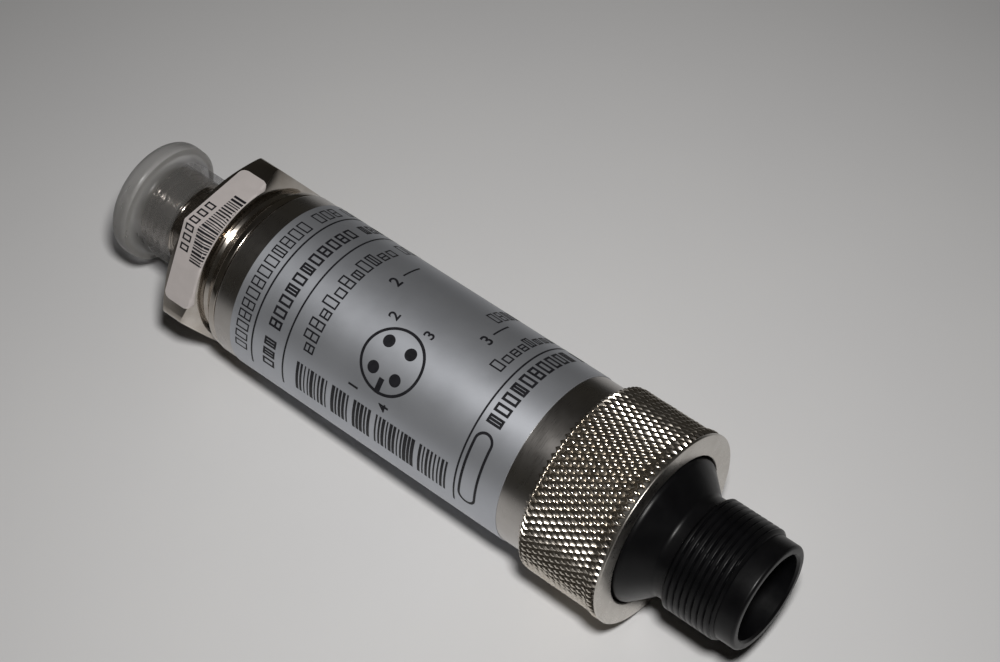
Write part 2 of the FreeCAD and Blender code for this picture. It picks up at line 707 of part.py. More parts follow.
def make_contacts():
    """Insert with four contacts on a circle, each in its own stepped hole."""
    body = new_body("contact_insert")
    fit = socket_radius - size("insert_clearance")
    turn(body, "insert_blank", [
        (insert_rear, ZERO),
        (insert_rear, insert_flange_radius),
        (insert_shoulder, insert_flange_radius),
        (insert_shoulder, fit),
        (insert_front, fit),
        (insert_front, ZERO),
    ])
    offset = radius("pin_circle_dia") * Size.of(math.sqrt(0.5))
    collar_start = insert_rear + size("pin_tail_dia")
    collar_end = collar_start + size("pin_collar_length")
    holes = []
    for name, hole_radius, depth in (
        ("contact_hole", radius("pin_dia"), insert_front - insert_rear),
        ("collar_hole", radius("pin_collar_dia"), collar_end - insert_rear),
    ):
        sketch = new_sketch(body, name + "_circle", "YZ_Plane", insert_rear)
        circle = Part.Circle(Vector(offset.value, offset.value, 0), Vector(0, 0, 1), hole_radius.value)
        sketch.addGeometry(circle, False)
        for kind, amount in (("DistanceX", offset), ("DistanceY", offset)):
            index = sketch.addConstraint(Sketcher.Constraint(kind, 0, 3, amount.value))
            sketch.setExpression("Constraints[%d]" % index, amount.text)
        index = sketch.addConstraint(Sketcher.Constraint("Radius", 0, hole_radius.value))
        sketch.setExpression("Constraints[%d]" % index, (hole_radius + size("pin_clearance")).text)
        hole = body.newObject("PartDesign::Pocket", name)
        hole.Profile = sketch
        hole.Reversed = True
        bind(hole, Length=depth)
        body.Tip = hole
        doc.recompute()
        holes.append(hole)
    pattern = body.newObject("PartDesign::PolarPattern", "contact_holes")
    pattern.Originals = holes
    pattern.Axis = (holes[0].Profile[0], ["N_Axis"])
    pattern.Angle = 360
    pattern.Occurrences = 4
    body.Tip = pattern
    doc.recompute()
    keep(body, "contact_insert")

    for number, (across, up) in enumerate(((1, 1), (-1, 1), (-1, -1), (1, -1)), start=1):
        pin = turned_part("contact_pin_%d" % number, [
            (tail_start, ZERO),
            (tail_start, radius("pin_tail_dia")),
            (collar_start, radius("pin_tail_dia")),
            (collar_start, radius("pin_collar_dia")),
            (collar_end, radius("pin_collar_dia")),
            (collar_end, radius("pin_dia")),
            (plug_end - size("pin_recess"), radius("pin_dia"), size("pin_round")),
            (plug_end - size("pin_recess"), ZERO),
        ])
        bind(pin, Placement__Base__y=offset * across, Placement__Base__z=offset * up)
    return offset


def rounded_path(points, bend):
    """A wire through the points, with each inner corner turned by a tangent arc."""
    edges = []
    start = points[0]
    for before, corner, after in zip(points, points[1:], points[2:]):
        inward = (before - corner).normalize()
        outward = (after - corner).normalize()
        half = inward.getAngle(outward) / 2
        setback = bend / math.tan(half)
        first = corner + inward * setback
        last = corner + outward * setback
        centre = corner + (inward + outward).normalize() * (bend / math.sin(half))
        middle = centre + (corner - centre).normalize() * bend
        edges.append(Part.LineSegment(start, first).toShape())
        edges.append(Part.Arc(first, middle, last).toShape())
        start = last
    edges.append(Part.LineSegment(start, points[-1]).toShape())
    return Part.Wire(edges)


def make_leads(offset):
    """Insulated leads from the board to the solder tails of contacts 2 and 3."""
    wire = radius("wire_dia").value
    solder = rear_holder_start.value - 4 * wire
    lift = board_top.value + wire
    for number, up in ((2, 1), (3, -1)):
        tail = Vector(tail_start.value - size("pin_clearance").value, -offset.value, up * offset.value)
        spread = -offset.value if number == 2 else 0.0
        points = [
            Vector(solder, spread, lift),
            Vector(board_end.value + wire, spread, lift),
            Vector(tail.x - 2.2 * wire, tail.y, tail.z),
            tail,
        ]
        path = rounded_path(points, 1.4 * wire)
        section = Part.Wire(Part.makeCircle(wire, points[0], Vector(1, 0, 0)))
        lead = doc.addObject("Part::Feature", "lead_wire_%d_solid" % number)
        lead.Shape = path.makePipeShell([section], True, False)
        lead.Placement = FreeCAD.Placement()
        keep(lead, "lead_wire_%d" % number)


def make_knurled_ring():
    """Ring nut: threaded on the tube, with a lip that clamps the connector's flange."""
    inside = radius("tube_dia") + size("ring_thread_clearance")
    knurl = inside + size("ring_wall")
    flare = knurl + size("ring_flare_rise")
    hole = disc_radius + size("ring_hole_clearance")
    seat = plug_front + size("ring_seat_gap")
    flare_start = ring_end - size("ring_flare_length")
    turned_part("knurled_ring", [
        (ring_start, inside),
        (ring_start, knurl, size("ring_rear_round")),
        (flare_start - size("ring_flare_slope"), knurl),
        (flare_start, flare),
        (ring_end, flare, size("ring_front_round")),
        (ring_end, hole, size("ring_lip_round")),
        (seat, hole),
        (seat, inside),
    ])


make_port_fitting()
make_port_seal()
make_protective_cap()
make_hex_sticker()
make_housing_tube()
make_type_label()
make_sensor()
make_liner()
make_board_holders()
make_main_board()
make_connector()
make_leads(make_contacts())
make_knurled_ring()
doc.recompute()

for item in doc.Objects:
    if "Invalid" in item.State or "Error" in item.State:
        raise RuntimeError("%s did not build" % item.Label)
os.makedirs("parts", exist_ok=True)
for item in nodes:
    if item.Shape.isNull() or not item.Shape.isValid():
        raise RuntimeError("%s has no valid shape" % item.Label)
    item.Shape.exportStep("parts/%s.step" % item.Label)
    print("%-20s %8.1f mm3  %d solid(s)" % (item.Label, item.Shape.Volume, len(item.Shape.Solids)))
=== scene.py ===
import json
import logging
import math
import random
from dataclasses import dataclass
from enum import Enum

import bmesh
import bpy
from mathutils import Matrix, Vector


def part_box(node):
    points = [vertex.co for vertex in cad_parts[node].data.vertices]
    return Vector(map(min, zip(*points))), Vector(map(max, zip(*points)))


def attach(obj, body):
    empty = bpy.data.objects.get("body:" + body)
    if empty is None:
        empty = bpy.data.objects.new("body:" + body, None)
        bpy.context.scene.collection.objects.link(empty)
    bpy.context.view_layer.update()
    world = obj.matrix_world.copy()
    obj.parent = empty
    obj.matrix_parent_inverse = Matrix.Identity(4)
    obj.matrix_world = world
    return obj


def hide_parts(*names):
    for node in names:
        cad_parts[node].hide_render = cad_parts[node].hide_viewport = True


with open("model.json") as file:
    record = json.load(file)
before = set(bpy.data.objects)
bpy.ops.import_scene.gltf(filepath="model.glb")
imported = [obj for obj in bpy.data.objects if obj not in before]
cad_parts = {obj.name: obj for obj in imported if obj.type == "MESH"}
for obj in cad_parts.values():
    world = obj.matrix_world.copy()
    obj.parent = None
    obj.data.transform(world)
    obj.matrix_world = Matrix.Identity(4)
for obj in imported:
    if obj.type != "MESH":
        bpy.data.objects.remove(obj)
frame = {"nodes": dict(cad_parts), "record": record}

MM = 0.001
LOG = logging.getLogger("pressure_transmitter")
FACING = 28.0
"""Line of the print that faces the viewer, in degrees from +Z towards -Y."""

Socket = bpy.types.NodeSocket
Material = bpy.types.Material
Piece = bpy.types.Object
Pair = tuple[float, float]
Triple = tuple[float, float, float]
Face = tuple[int, ...]


@dataclass(frozen=True)
class Extent:
    """Where a CAD node lies along the axis and how far it reaches from it, in mm."""

    start: float
    end: float
    reach: float

    @staticmethod
    def of(node: str) -> "Extent":
        """Reads a node's extent from the frame.

        Args:
            node: name of a CAD node that is round about the axis.

        Returns:
            Its start, end and largest radius in mm.
        """
        low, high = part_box(node)
        return Extent(low[0] / MM, high[0] / MM, high[2] / MM)

    @property
    def length(self) -> float:
        """Length along the axis."""
        return self.end - self.start


@dataclass(frozen=True)
class Corner:
    """Corner of a turned outline: station on the axis, radius and rounding, in mm."""

    along: float
    radius: float
    rounding: float = 0.0


def quads(rows: int, count: int, base: int = 0, ring: bool = False, loop: bool = False) -> list[Face]:
    """Spans neighbouring rows of points with four-sided faces.

    Args:
        rows: number of rows.
        count: points in each row.
        base: index of the first point.
        ring: whether the last row meets the first.
        loop: whether each row closes on itself.

    Returns:
        The corner indices of each face.
    """
    faces = []
    for row in range(rows if ring else rows - 1):
        low, high = base + row * count, base + (row + 1) % rows * count
        for k in range(count if loop else count - 1):
            j = (k + 1) % count
            faces.append((low + k, low + j, high + j, high + k))
    return faces


def rounded(corners: list[Corner], steps: int = 6) -> list[Pair]:
    """Turns a closed outline with rounded corners into points.

    Args:
        corners: the outline's corners in order.
        steps: spans along each rounding.

    Returns:
        Points (along, radius) in mm.
    """
    points: list[Pair] = []
    count = len(corners)
    for i, corner in enumerate(corners):
        here = Vector((corner.along, corner.radius))
        if corner.rounding <= 0:
            points.append((here.x, here.y))
            continue
        back = Vector((corners[i - 1].along, corners[i - 1].radius)) - here
        ahead = Vector((corners[(i + 1) % count].along, corners[(i + 1) % count].radius)) - here
        half = back.angle(ahead) / 2
        run = min(corner.rounding / math.tan(half), back.length * 0.95, ahead.length * 0.95)
        size = run * math.tan(half)
        bisector = (back.normalized() + ahead.normalized()).normalized()
        centre = here + bisector * (size / math.sin(half))
        first = here + back.normalized() * run - centre
        last = here + ahead.normalized() * run - centre
        turn = first.angle_signed(last)
        for k in range(steps + 1):
            spoke = first.copy()
            spoke.rotate(Matrix.Rotation(-turn * k / steps, 2))
            points.append((centre.x + spoke.x, centre.y + spoke.y))
    return points


def make_piece(name: str, points: list[Triple], faces: list[Face], material: Material,
               sharp_degrees: float = 32.0, closed: bool = True) -> Piece:
    """Makes an object at the origin from points in mm.

    Args:
        name: name of the piece.
        points: corners (x, y, z) in mm.
        faces: corner indices of each face.
        material: finish of the whole piece.
        sharp_degrees: edges that turn further than this stay sharp.
        closed: whether the shell is closed, so that its outside can be worked out.

    Returns:
        The new object, linked to the scene.
    """
    mesh = bpy.data.meshes.new(name)
    mesh.from_pydata([[c * MM for c in p] for p in points], [], faces)
    mesh.materials.append(material)
    piece = bpy.data.objects.new(name, mesh)
    bpy.context.collection.objects.link(piece)
    clean(piece, sharp_degrees, closed)
    return piece


def clean(piece: Piece, sharp_degrees: float, closed: bool) -> None:
    """Merges doubles, turns faces outwards and sets smooth shading with sharp edges."""
    work = bmesh.new()
    work.from_mesh(piece.data)
    bmesh.ops.remove_doubles(work, verts=work.verts, dist=1e-7)
    bmesh.ops.dissolve_degenerate(work, edges=work.edges, dist=1e-8)
    if closed:
        bmesh.ops.recalc_face_normals(work, faces=work.faces)
    for face in work.faces:
        face.smooth = True
    work.to_mesh(piece.data)
    work.free()
    piece.data.set_sharp_from_angle(angle=math.radians(sharp_degrees))


def turn_outwards(piece: Piece) -> None:
    """Turns the faces of an open skin round the axis so that they look away from it."""
    work = bmesh.new()
    work.from_mesh(piece.data)
    work.normal_update()
    for face in work.faces:
        centre = face.calc_center_median()
        if face.normal.dot(Vector((0, centre.y, centre.z))) < 0:
            face.normal_flip()
    work.to_mesh(piece.data)
    work.free()


def lathe(name: str, outline: list[Pair], material: Material, segments: int = 180) -> Piece:
    """Turns a closed outline about the axis.

    Args:
        name: name of the piece.
        outline: closed outline (along, radius) in mm.
        material: finish.
        segments: spans round the axis.

    Returns:
        The turned piece.
    """
    points = []
    for s in range(segments):
        angle = 2 * math.pi * s / segments
        points += [(x, r * math.cos(angle), r * math.sin(angle)) for x, r in outline]
    return make_piece(name, points, quads(segments, len(outline), ring=True, loop=True), material)


class Nodes:
    """Adds and links the nodes of one tree."""

    def __init__(self, group: bpy.types.NodeTree) -> None:
        """Takes up the tree."""
        self.group = group
        self.nodes, self.links = group.nodes, group.links

    def feed(self, socket: Socket, value: object) -> None:
        """Sets or links one input; a colour is given as three numbers."""
        if isinstance(value, Field):
            value = value.socket
        if isinstance(value, Socket):
            self.links.new(value, socket)
        elif socket.type == "RGBA":
            socket.default_value = (*value, 1.0)
        else:
            socket.default_value = value

    def node(self, kind: str, *inputs: object, **settings: object) -> bpy.types.Node:
        """Adds a node.

        Args:
            kind: its type.
            inputs: values or sockets for its first inputs, in order.
            settings: its other settings.

        Returns:
            The node.
        """
        node = self.nodes.new(kind)
        for key, value in settings.items():
            setattr(node, key, value)
        for slot, value in enumerate(inputs):
            self.feed(node.inputs[slot], value)
        return node


class Field:
    """A value in a geometry tree that is worked out with ordinary operators."""

    def __init__(self, tree: "Tree", socket: Socket) -> None:
        """Wraps one socket of a tree."""
        self.tree = tree
        self.socket = socket

    def math(self, operation: str, *others: "Field | float") -> "Field":
        """Adds a Math node on this value and further operands."""
        node = self.tree.node("ShaderNodeMath", self, *others, operation=operation)
        return Field(self.tree, node.outputs[0])

    def __add__(self, other: "Field | float") -> "Field":
        """Sum of the two."""
        return self.math("ADD", other)

    def __sub__(self, other: "Field | float") -> "Field":
        """Difference of the two."""
        return self.math("SUBTRACT", other)

    def __mul__(self, other: "Field | float") -> "Field":
        """Product of the two."""
        return self.math("MULTIPLY", other)

    def __truediv__(self, other: "Field | float") -> "Field":
        """Quotient of the two."""
        return self.math("DIVIDE", other)

    def clamp(self) -> "Field":
        """Limits the value to 0..1."""
        return self.math("MAXIMUM", 0.0).math("MINIMUM", 1.0)


class Tree(Nodes):
    """A geometry tree with named inputs that ends in Realize Instances and Set Material."""

    def __init__(self, name: str, numbers: dict[str, float]) -> None:
        """Opens a tree with one input for each number and one for the finish."""
        super().__init__(bpy.data.node_groups.new(name, "GeometryNodeTree"))
        face = self.group.interface
        self.sockets = {
            key: face.new_socket(name=key, in_out="INPUT", socket_type="NodeSocketFloat")
            for key in numbers
        }
        self.finish_socket = face.new_socket(
            name="Finish", in_out="INPUT", socket_type="NodeSocketMaterial")
        face.new_socket(name="Geometry", in_out="OUTPUT", socket_type="NodeSocketGeometry")
        self.numbers = numbers
        self.given = self.node("NodeGroupInput")
        self.result = self.node("NodeGroupOutput")

    def values(self) -> list[Field]:
        """The tree's named inputs in order."""
        return [Field(self, self.given.outputs[key]) for key in self.numbers]

    def index(self) -> Field:
        """Index of the point at hand."""
        return Field(self, self.node("GeometryNodeInputIndex").outputs[0])

    def chance(self, low: float, high: float, seed: float, step: int = 0) -> Field:
        """A seeded random value for each point."""
        node = self.node("FunctionNodeRandomValue", data_type="FLOAT")
        node.inputs[2].default_value = low
        node.inputs[3].default_value = high
        self.feed(node.inputs["Seed"], int(seed) + step)
        return Field(self, node.outputs[1])

    def place(self) -> tuple[Field, ...]:
        """The three coordinates of the point at hand."""
        split = self.node("ShaderNodeSeparateXYZ", self.node("GeometryNodeInputPosition").outputs[0])
        return tuple(Field(self, split.outputs[k]) for k in range(3))

    def vector(self, x: object, y: object, z: object) -> Socket:
        """Joins three values into a vector."""
        return self.node("ShaderNodeCombineXYZ", x, y, z).outputs[0]

    def around(self, along: Field, radius: Field, angle: Field) -> Socket:
        """A place round the axis."""
        return self.vector(along, radius * angle.math("COSINE"), radius * angle.math("SINE"))

    def grid(self, across: int, along: int) -> Socket:
        """A flat grid one unit wide, given its numbers of points."""
        return self.node("GeometryNodeMeshGrid", 1.0, 1.0, across, along).outputs["Mesh"]

    def repeated(self, count: int, places: Socket, shape: Socket, scale: Socket,
                 missing: Field | None = None) -> Socket:
        """Sets scaled copies of a shape on points and realizes them.

        Args:
            count: number of points.
            places: where each point lies.
            shape: what is copied.
            scale: size of each copy.
            missing: which points are left out.

        Returns:
            The realized copies.
        """
        kept = self.node("GeometryNodePoints", count, places).outputs[0]
        if missing is not None:
            kept = self.node("GeometryNodeDeleteGeometry", kept, missing, domain="POINT").outputs[0]
        copies = self.node("GeometryNodeInstanceOnPoints", kept)
        self.feed(copies.inputs["Instance"], shape)
        self.feed(copies.inputs["Scale"], scale)
        return self.node("GeometryNodeRealizeInstances", copies.outputs[0]).outputs[0]

    def end(self, shape: Socket, position: Socket, merge_mm: float) -> None:
        """Closes the tree: move the points, merge doubles, realize, set the finish."""
        move = self.node("GeometryNodeSetPosition")
        merge = self.node("GeometryNodeMergeByDistance")
        realize = self.node("GeometryNodeRealizeInstances")
        paint = self.node("GeometryNodeSetMaterial")
        merge.inputs["Distance"].default_value = merge_mm * MM
        self.feed(move.inputs["Position"], position)
        self.feed(paint.inputs["Material"], self.given.outputs["Finish"])
        for step in (move, merge, realize, paint):
            self.feed(step.inputs[0], shape)
            shape = step.outputs[0]
        self.feed(self.result.inputs[0], shape)

    def build(self, name: str, material: Material, sharp_degrees: float) -> Piece:
        """Evaluates the tree once into a plain mesh.

        Args:
            name: name of the piece.
            material: finish.
            sharp_degrees: edges that turn further than this stay sharp.

        Returns:
            The piece, with no modifier on it.
        """
        host = bpy.data.objects.new(name, bpy.data.meshes.new(name + "_seed"))
        bpy.context.collection.objects.link(host)
        modifier = host.modifiers.new("Geometry", "NODES")
        modifier.node_group = self.group
        for key, socket in self.sockets.items():
            modifier[socket.identifier] = float(self.numbers[key])
        modifier[self.finish_socket.identifier] = material
        host.update_tag()
        bpy.context.view_layer.update()
        solved = host.evaluated_get(bpy.context.evaluated_depsgraph_get())
        mesh = bpy.data.meshes.new_from_object(solved)
        host.modifiers.remove(modifier)
        host.data = mesh
        mesh.name = name
        if not mesh.materials:
            mesh.materials.append(material)
        clean(host, sharp_degrees, closed=False)
        return host


@dataclass(frozen=True)
class HelicalThread:
    """A right-hand thread as one surface that sinks into the core at both ends, in mm."""

    start: float
    end: float
    pitch: float
    crest: float
    root: float
    core: float
    run_out: float
    flank: float = 2.6
    fullness: float = 0.36
    rows_per_pitch: int = 20
    spans_round: int = 145

    def build(self, name: str, material: Material) -> Piece:
        """Builds the thread through a geometry tree."""
        rows = int((self.end - self.start) / self.pitch * self.rows_per_pitch)
        tree = Tree(name + "_tree", {
            "Start": self.start * MM, "Length": (self.end - self.start) * MM,
            "Pitch": self.pitch * MM, "Crest": self.crest * MM, "Root": self.root * MM,
            "Core": self.core * MM, "Run-out": self.run_out * MM, "Flank": self.flank,
        })
        start, length, pitch, crest, root, core, run_out, flank = tree.values()
        grid = tree.grid(rows, self.spans_round)
        x, y, _ = tree.place()
        along = start + (x + 0.5) * length
        share = y + 0.5
        phase = (along / pitch - share).math("FRACT")
        height = ((phase - 0.5).math("ABSOLUTE") * flank * -1.0 + flank * self.fullness).clamp()
        edge = (x + 0.5).math("MINIMUM", (x * -1.0) + 0.5) * length
        rise = (edge / run_out).clamp()
        radius = core + (root - core) * (rise * 4.0).clamp() + (crest - root) * height * rise
        tree.end(grid, tree.around(along, radius, share * (2 * math.pi)), 0.0005)
        return tree.build(name, material, 50.0)


@dataclass(frozen=True)
class DiamondKnurl:
    """A crossed knurl: rows of four-sided cells with small flat tops, in mm."""

    start: float
    end: float
    columns: int
    half_length: float
    root: float
    crest: float
    flare: float
    flare_start: float
    rear_edge: float
    rear_round: float
    top: float
    unevenness: float
    seed: int
    flare_run: float = 0.4
    dome: float = 0.30

    def build(self, name: str, material: Material) -> Piece:
        """Builds the knurl through a geometry tree of instanced cells."""
        rows = int((self.end - self.start) / self.half_length) + 1
        tree = Tree(name + "_tree", {
            "Start": self.start * MM, "Half length": self.half_length * MM,
            "Root": self.root * MM, "Crest": self.crest * MM,
            "Flare rise": (self.flare - self.crest) * MM, "Flare start": self.flare_start * MM,
            "Rear edge": self.rear_edge * MM, "Rear round": self.rear_round * MM,
            "Columns": self.columns, "Unevenness": self.unevenness,
        })
        (start, half, root, crest, flare_rise, flare_start, rear_edge, rear_round, columns,
         unevenness) = tree.values()
        cell = tree.node("GeometryNodeMeshCone", 4, 4, 1, self.top, 1.0, 1.0, fill_type="NGON")
        open_cell = tree.node(
            "GeometryNodeDeleteGeometry", cell.outputs["Mesh"], cell.outputs["Bottom"], domain="FACE")
        index = tree.index()
        row = ((index + 0.5) / columns).math("FLOOR")
        column = index - row * columns
        stagger = (row * 0.5).math("FRACT")
        spacing = columns.math("POWER", -1.0) * (2 * math.pi)
        uneven = unevenness * tree.chance(-1.0, 0.0, self.seed) + 1.0
        cells = tree.repeated(
            rows * self.columns, tree.vector(row * half, (column + stagger) * spacing, 0.0),
            open_cell.outputs[0], tree.vector(half, spacing * 0.5, uneven))
        x, y, z = tree.place()
        along = start + x
        flare = ((along - flare_start) / (self.flare_run * MM)).clamp() * flare_rise
        domed = z * (z * z * -self.dome + (1.0 + self.dome))
        inset = ((rear_edge + rear_round - along) / rear_round).clamp()
        rear = (inset * inset * -1.0 + 1.0).math("MAXIMUM", 0.0).math("SQRT")
        radius = root + flare + (crest - root) * domed - rear_round * (rear * -1.0 + 1.0)
        tree.end(cells, tree.around(along, radius, y), 0.002)
        return tree.build(name, material, 58.0)


@dataclass(frozen=True)
class StripeField:
    """A field of plain stripes of seeded widths, wrapped on the label, in mm and degrees."""

    start: float
    length: float
    first_turn: float
    height: float
    radius: float
    count: int
    seed: int
    fewest: float = 0.32
    widest: float = 0.92
    missing: float = 0.1

    def build(self, name: str, material: Material) -> Piece:
        """Builds the stripes through a geometry tree of instanced bars."""
        tree = Tree(name + "_tree", {
            "Start": self.start * MM, "Step": self.length / self.count * MM, "Radius": self.radius * MM,
            "First turn": math.radians(self.first_turn), "Height": self.height * MM,
        })
        start, step, radius, first_turn, height = tree.values()
        missing = tree.chance(0.0, 1.0, self.seed, 1).math("LESS_THAN", self.missing)
        width = tree.chance(self.fewest, self.widest, self.seed) * step
        bars = tree.repeated(
            self.count, tree.vector((tree.index() + 0.5) * step, height * 0.5, 0.0),
            tree.grid(2, 13), tree.vector(width, height, 1.0), missing)
        x, y, _ = tree.place()
        angle = first_turn - y / radius
        spot = tree.vector(start + x, radius * angle.math("SINE") * -1.0, radius * angle.math("COSINE"))
        tree.end(bars, spot, 0.0005)
        return tree.build(name, material, 60.0)


class Grain(Enum):
    """Direction in which a finish's fine marks run."""

    TURNED = (1.0, 0.06, 0.06)
    DRAWN = (0.04, 1.0, 1.0)
    EVEN = (1.0, 1.0, 1.0)


class Shader(Nodes):
    """A node material under construction, on object coordinates."""

    def __init__(self, name: str) -> None:
        """Opens a node material."""
        self.material = bpy.data.materials.new(name)
        self.material.use_nodes = True
        super().__init__(self.material.node_tree)
        self.bsdf = self.nodes["Principled BSDF"]
        self.coordinates = self.node("ShaderNodeTexCoord").outputs["Object"]

    def noise(self, size_mm: float, grain: Grain = Grain.EVEN, detail: float = 3.0) -> Socket:
        """Adds noise.

        Args:
            size_mm: size of its features across the grain.
            grain: direction in which they run.
            detail: octaves.

        Returns:
            The noise value.
        """
        mapping = self.node("ShaderNodeMapping", self.coordinates)
        mapping.inputs["Scale"].default_value = [s / (size_mm * MM) for s in grain.value]
        noise = self.node("ShaderNodeTexNoise", mapping.outputs[0])
        noise.inputs["Scale"].default_value = 1.0
        noise.inputs["Detail"].default_value = detail
        return noise.outputs["Fac"]

    def spread(self, socket: Socket, low: float, high: float, since: float = 0.3,
               until: float = 0.7) -> Socket:
        """Maps a value between two limits onto a range."""
        return self.node("ShaderNodeMapRange", socket, since, until, low, high).outputs["Result"]

    def blend(self, factor: Socket, first: Triple | Socket, second: Triple | Socket) -> Socket:
        """Mixes two colours."""
        node = self.node("ShaderNodeMix", factor, data_type="RGBA")
        for slot, value in ((6, first), (7, second)):
            self.feed(node.inputs[slot], value)
        return node.outputs[2]

    def bump(self, height: Socket, depth_mm: float, strength: float, under: Socket | None = None) -> Socket:
        """Adds a bump layer."""
        node = self.node("ShaderNodeBump")
        for key, value in (("Distance", depth_mm * MM), ("Strength", strength), ("Height", height),
                           ("Normal", under)):
            if value is not None:
                self.feed(node.inputs[key], value)
        return node.outputs["Normal"]

    def into(self, **values: object) -> None:
        """Sets or links the surface's own sockets, with _ for each space in a name."""
        for key, value in values.items():
            self.feed(self.bsdf.inputs[key.replace("_", " ")], value)


@dataclass(frozen=True)
class Finish:
    """A surface with patchy colour, varied roughness, fine grain and shallow lumps."""

    name: str
    colour: Triple
    patch_colour: Triple
    roughness: Pair
    metallic: float = 0.0
    patch_mm: float = 4.0
    grain: Grain = Grain.EVEN
    grain_mm: float = 0.2
    grain_depth_mm: float = 0.004
    grain_strength: float = 0.25
    lump_mm: float = 6.0
    lump_depth_mm: float = 0.0
    rolled: float = 0.0
    extras: tuple[tuple[str, float], ...] = ()

    def build(self) -> Material:
        """Makes the node material."""
        shader = Shader(self.name)
        smoothest, roughest = self.roughness
        middle = (smoothest + roughest) / 2
        patches = shader.noise(self.patch_mm)
        grain = shader.noise(self.grain_mm, self.grain, 4.0)
        wide = shader.spread(shader.noise(self.patch_mm * 0.6), smoothest, middle)
        fine = shader.spread(grain, 0.0, roughest - middle)
        normal = shader.bump(grain, self.grain_depth_mm, self.grain_strength)
        if self.lump_depth_mm > 0:
            normal = shader.bump(shader.noise(self.lump_mm, detail=1.0), self.lump_depth_mm, 0.6, normal)
        shader.into(
            Base_Color=self.coloured(shader, shader.spread(patches, 0.0, 1.0)),
            Roughness=shader.node("ShaderNodeMath", wide, fine).outputs[0],
            Metallic=self.metallic, Normal=normal)
        if self.rolled > 0:
            around = shader.node("ShaderNodeTangent", direction_type="RADIAL", axis="X")
            shader.into(Anisotropic=self.rolled, Anisotropic_Rotation=0.25, Tangent=around.outputs[0])
        shader.into(**dict(self.extras))
        self.finish(shader)
        return shader.material

    def coloured(self, shader: Shader, patches: Socket) -> Socket:
        """Mixes the two colours by patches."""
        return shader.blend(patches, self.colour, self.patch_colour)

    def finish(self, shader: Shader) -> None:
        """Adds what a finish has beyond the shared layers."""


@dataclass(frozen=True)
class StainedMetal(Finish):
    """Metal with brownish stains in spots."""

    stain: Triple = (0.16, 0.10, 0.05)
    stain_mm: float = 1.2
    stain_since: float = 0.66

    def coloured(self, shader: Shader, patches: Socket) -> Socket:
        """Lays the stains over the patchy metal."""
        spots = shader.noise(self.stain_mm, detail=5.0)
        stained = shader.spread(spots, 0.0, 0.8, self.stain_since, self.stain_since + 0.12)
        return shader.blend(stained, super().coloured(shader, patches), self.stain)


@dataclass(frozen=True)
class ClearPlastic(Finish):
    """Milky plastic that lets light through and blurs what is behind it."""

    clearness: float = 0.74
    milky: float = 0.38
    sleeve_mm: float = 7.7
    bead_mm: float = 8.9
    thickness_tint: Triple = (0.80, 0.80, 0.81)

    def finish(self, shader: Shader) -> None:
        """Adds light that passes straight through, more in the thin sleeve than in the bead."""
        across = shader.node(
            "ShaderNodeVectorMath", shader.coordinates, (0.0, 1.0, 1.0), operation="MULTIPLY")
        reach = shader.node("ShaderNodeVectorMath", across.outputs[0], operation="LENGTH")
        thin = shader.spread(reach.outputs["Value"], self.clearness, self.milky,
                             self.sleeve_mm * MM, self.bead_mm * MM)
        cloud = shader.spread(shader.noise(5.0, detail=1.0), -0.03, 0.03)
        share = shader.node("ShaderNodeMath", thin, cloud)
        veil = shader.node("ShaderNodeBsdfTransparent", self.thickness_tint)
        mix = shader.node(
            "ShaderNodeMixShader", share.outputs[0], shader.bsdf.outputs[0], veil.outputs[0])
        shader.feed(shader.nodes["Material Output"].inputs["Surface"], mix.outputs[0])


STEEL = StainedMetal(
    "tube_steel", (0.50, 0.48, 0.46), (0.42, 0.40, 0.38), (0.25, 0.33), 1.0, 5.0,
    Grain.TURNED, 0.10, 0.002, 0.06, rolled=0.32, stain_since=0.74)
BRIGHT_STEEL = StainedMetal(
    "fitting_steel", (0.54, 0.505, 0.465), (0.42, 0.38, 0.335), (0.10, 0.22), 1.0, 3.0,
    Grain.TURNED, 0.25, 0.002, 0.06, lump_mm=4.0, lump_depth_mm=0.008, stain_since=0.74)
NICKEL = StainedMetal(
    "knurled_nickel", (0.78, 0.73, 0.66), (0.66, 0.60, 0.52), (0.14, 0.28), 1.0, 1.6,
    Grain.EVEN, 0.10, 0.002, 0.3, stain=(0.20, 0.12, 0.06), stain_mm=0.9, stain_since=0.68)
NICKEL_FACE = StainedMetal(
    "turned_nickel", (0.62, 0.595, 0.555), (0.55, 0.52, 0.48), (0.22, 0.38), 1.0, 3.0,
    Grain.EVEN, 0.12, 0.003, 0.3, stain_since=0.74)
FOIL = Finish(
    "silver_foil", (0.55, 0.57, 0.61), (0.515, 0.535, 0.575), (0.46, 0.54), 0.78, 6.0,
    Grain.EVEN, 0.06, 0.002, 0.2, rolled=0.38)
PAPER = Finish(
    "sticker_paper", (0.58, 0.535, 0.52), (0.54, 0.50, 0.485), (0.55, 0.75), 0.0, 2.0,
    Grain.EVEN, 0.08, 0.004, 0.4)
INK = Finish(
    "printed_ink", (0.010, 0.010, 0.012), (0.018, 0.018, 0.022), (0.40, 0.60), 0.0, 0.8,
    Grain.EVEN, 0.05, 0.001, 0.2, extras=(("Specular IOR Level", 0.25),))
BLACK_PLASTIC = Finish(
    "black_plastic", (0.0022, 0.0022, 0.0026), (0.0045, 0.0045, 0.005), (0.26, 0.42), 0.0, 3.0,
    Grain.EVEN, 0.08, 0.004, 0.30, lump_mm=2.5, lump_depth_mm=0.02,
    extras=(("Specular IOR Level", 0.2),))
INSERT_PLASTIC = Finish(
    "insert_plastic", (0.003, 0.003, 0.003), (0.006, 0.006, 0.006), (0.40, 0.60), 0.0, 2.0)
RUBBER = Finish(
    "seal_rubber", (0.012, 0.012, 0.012), (0.020, 0.020, 0.020), (0.55, 0.75), 0.0, 1.5)
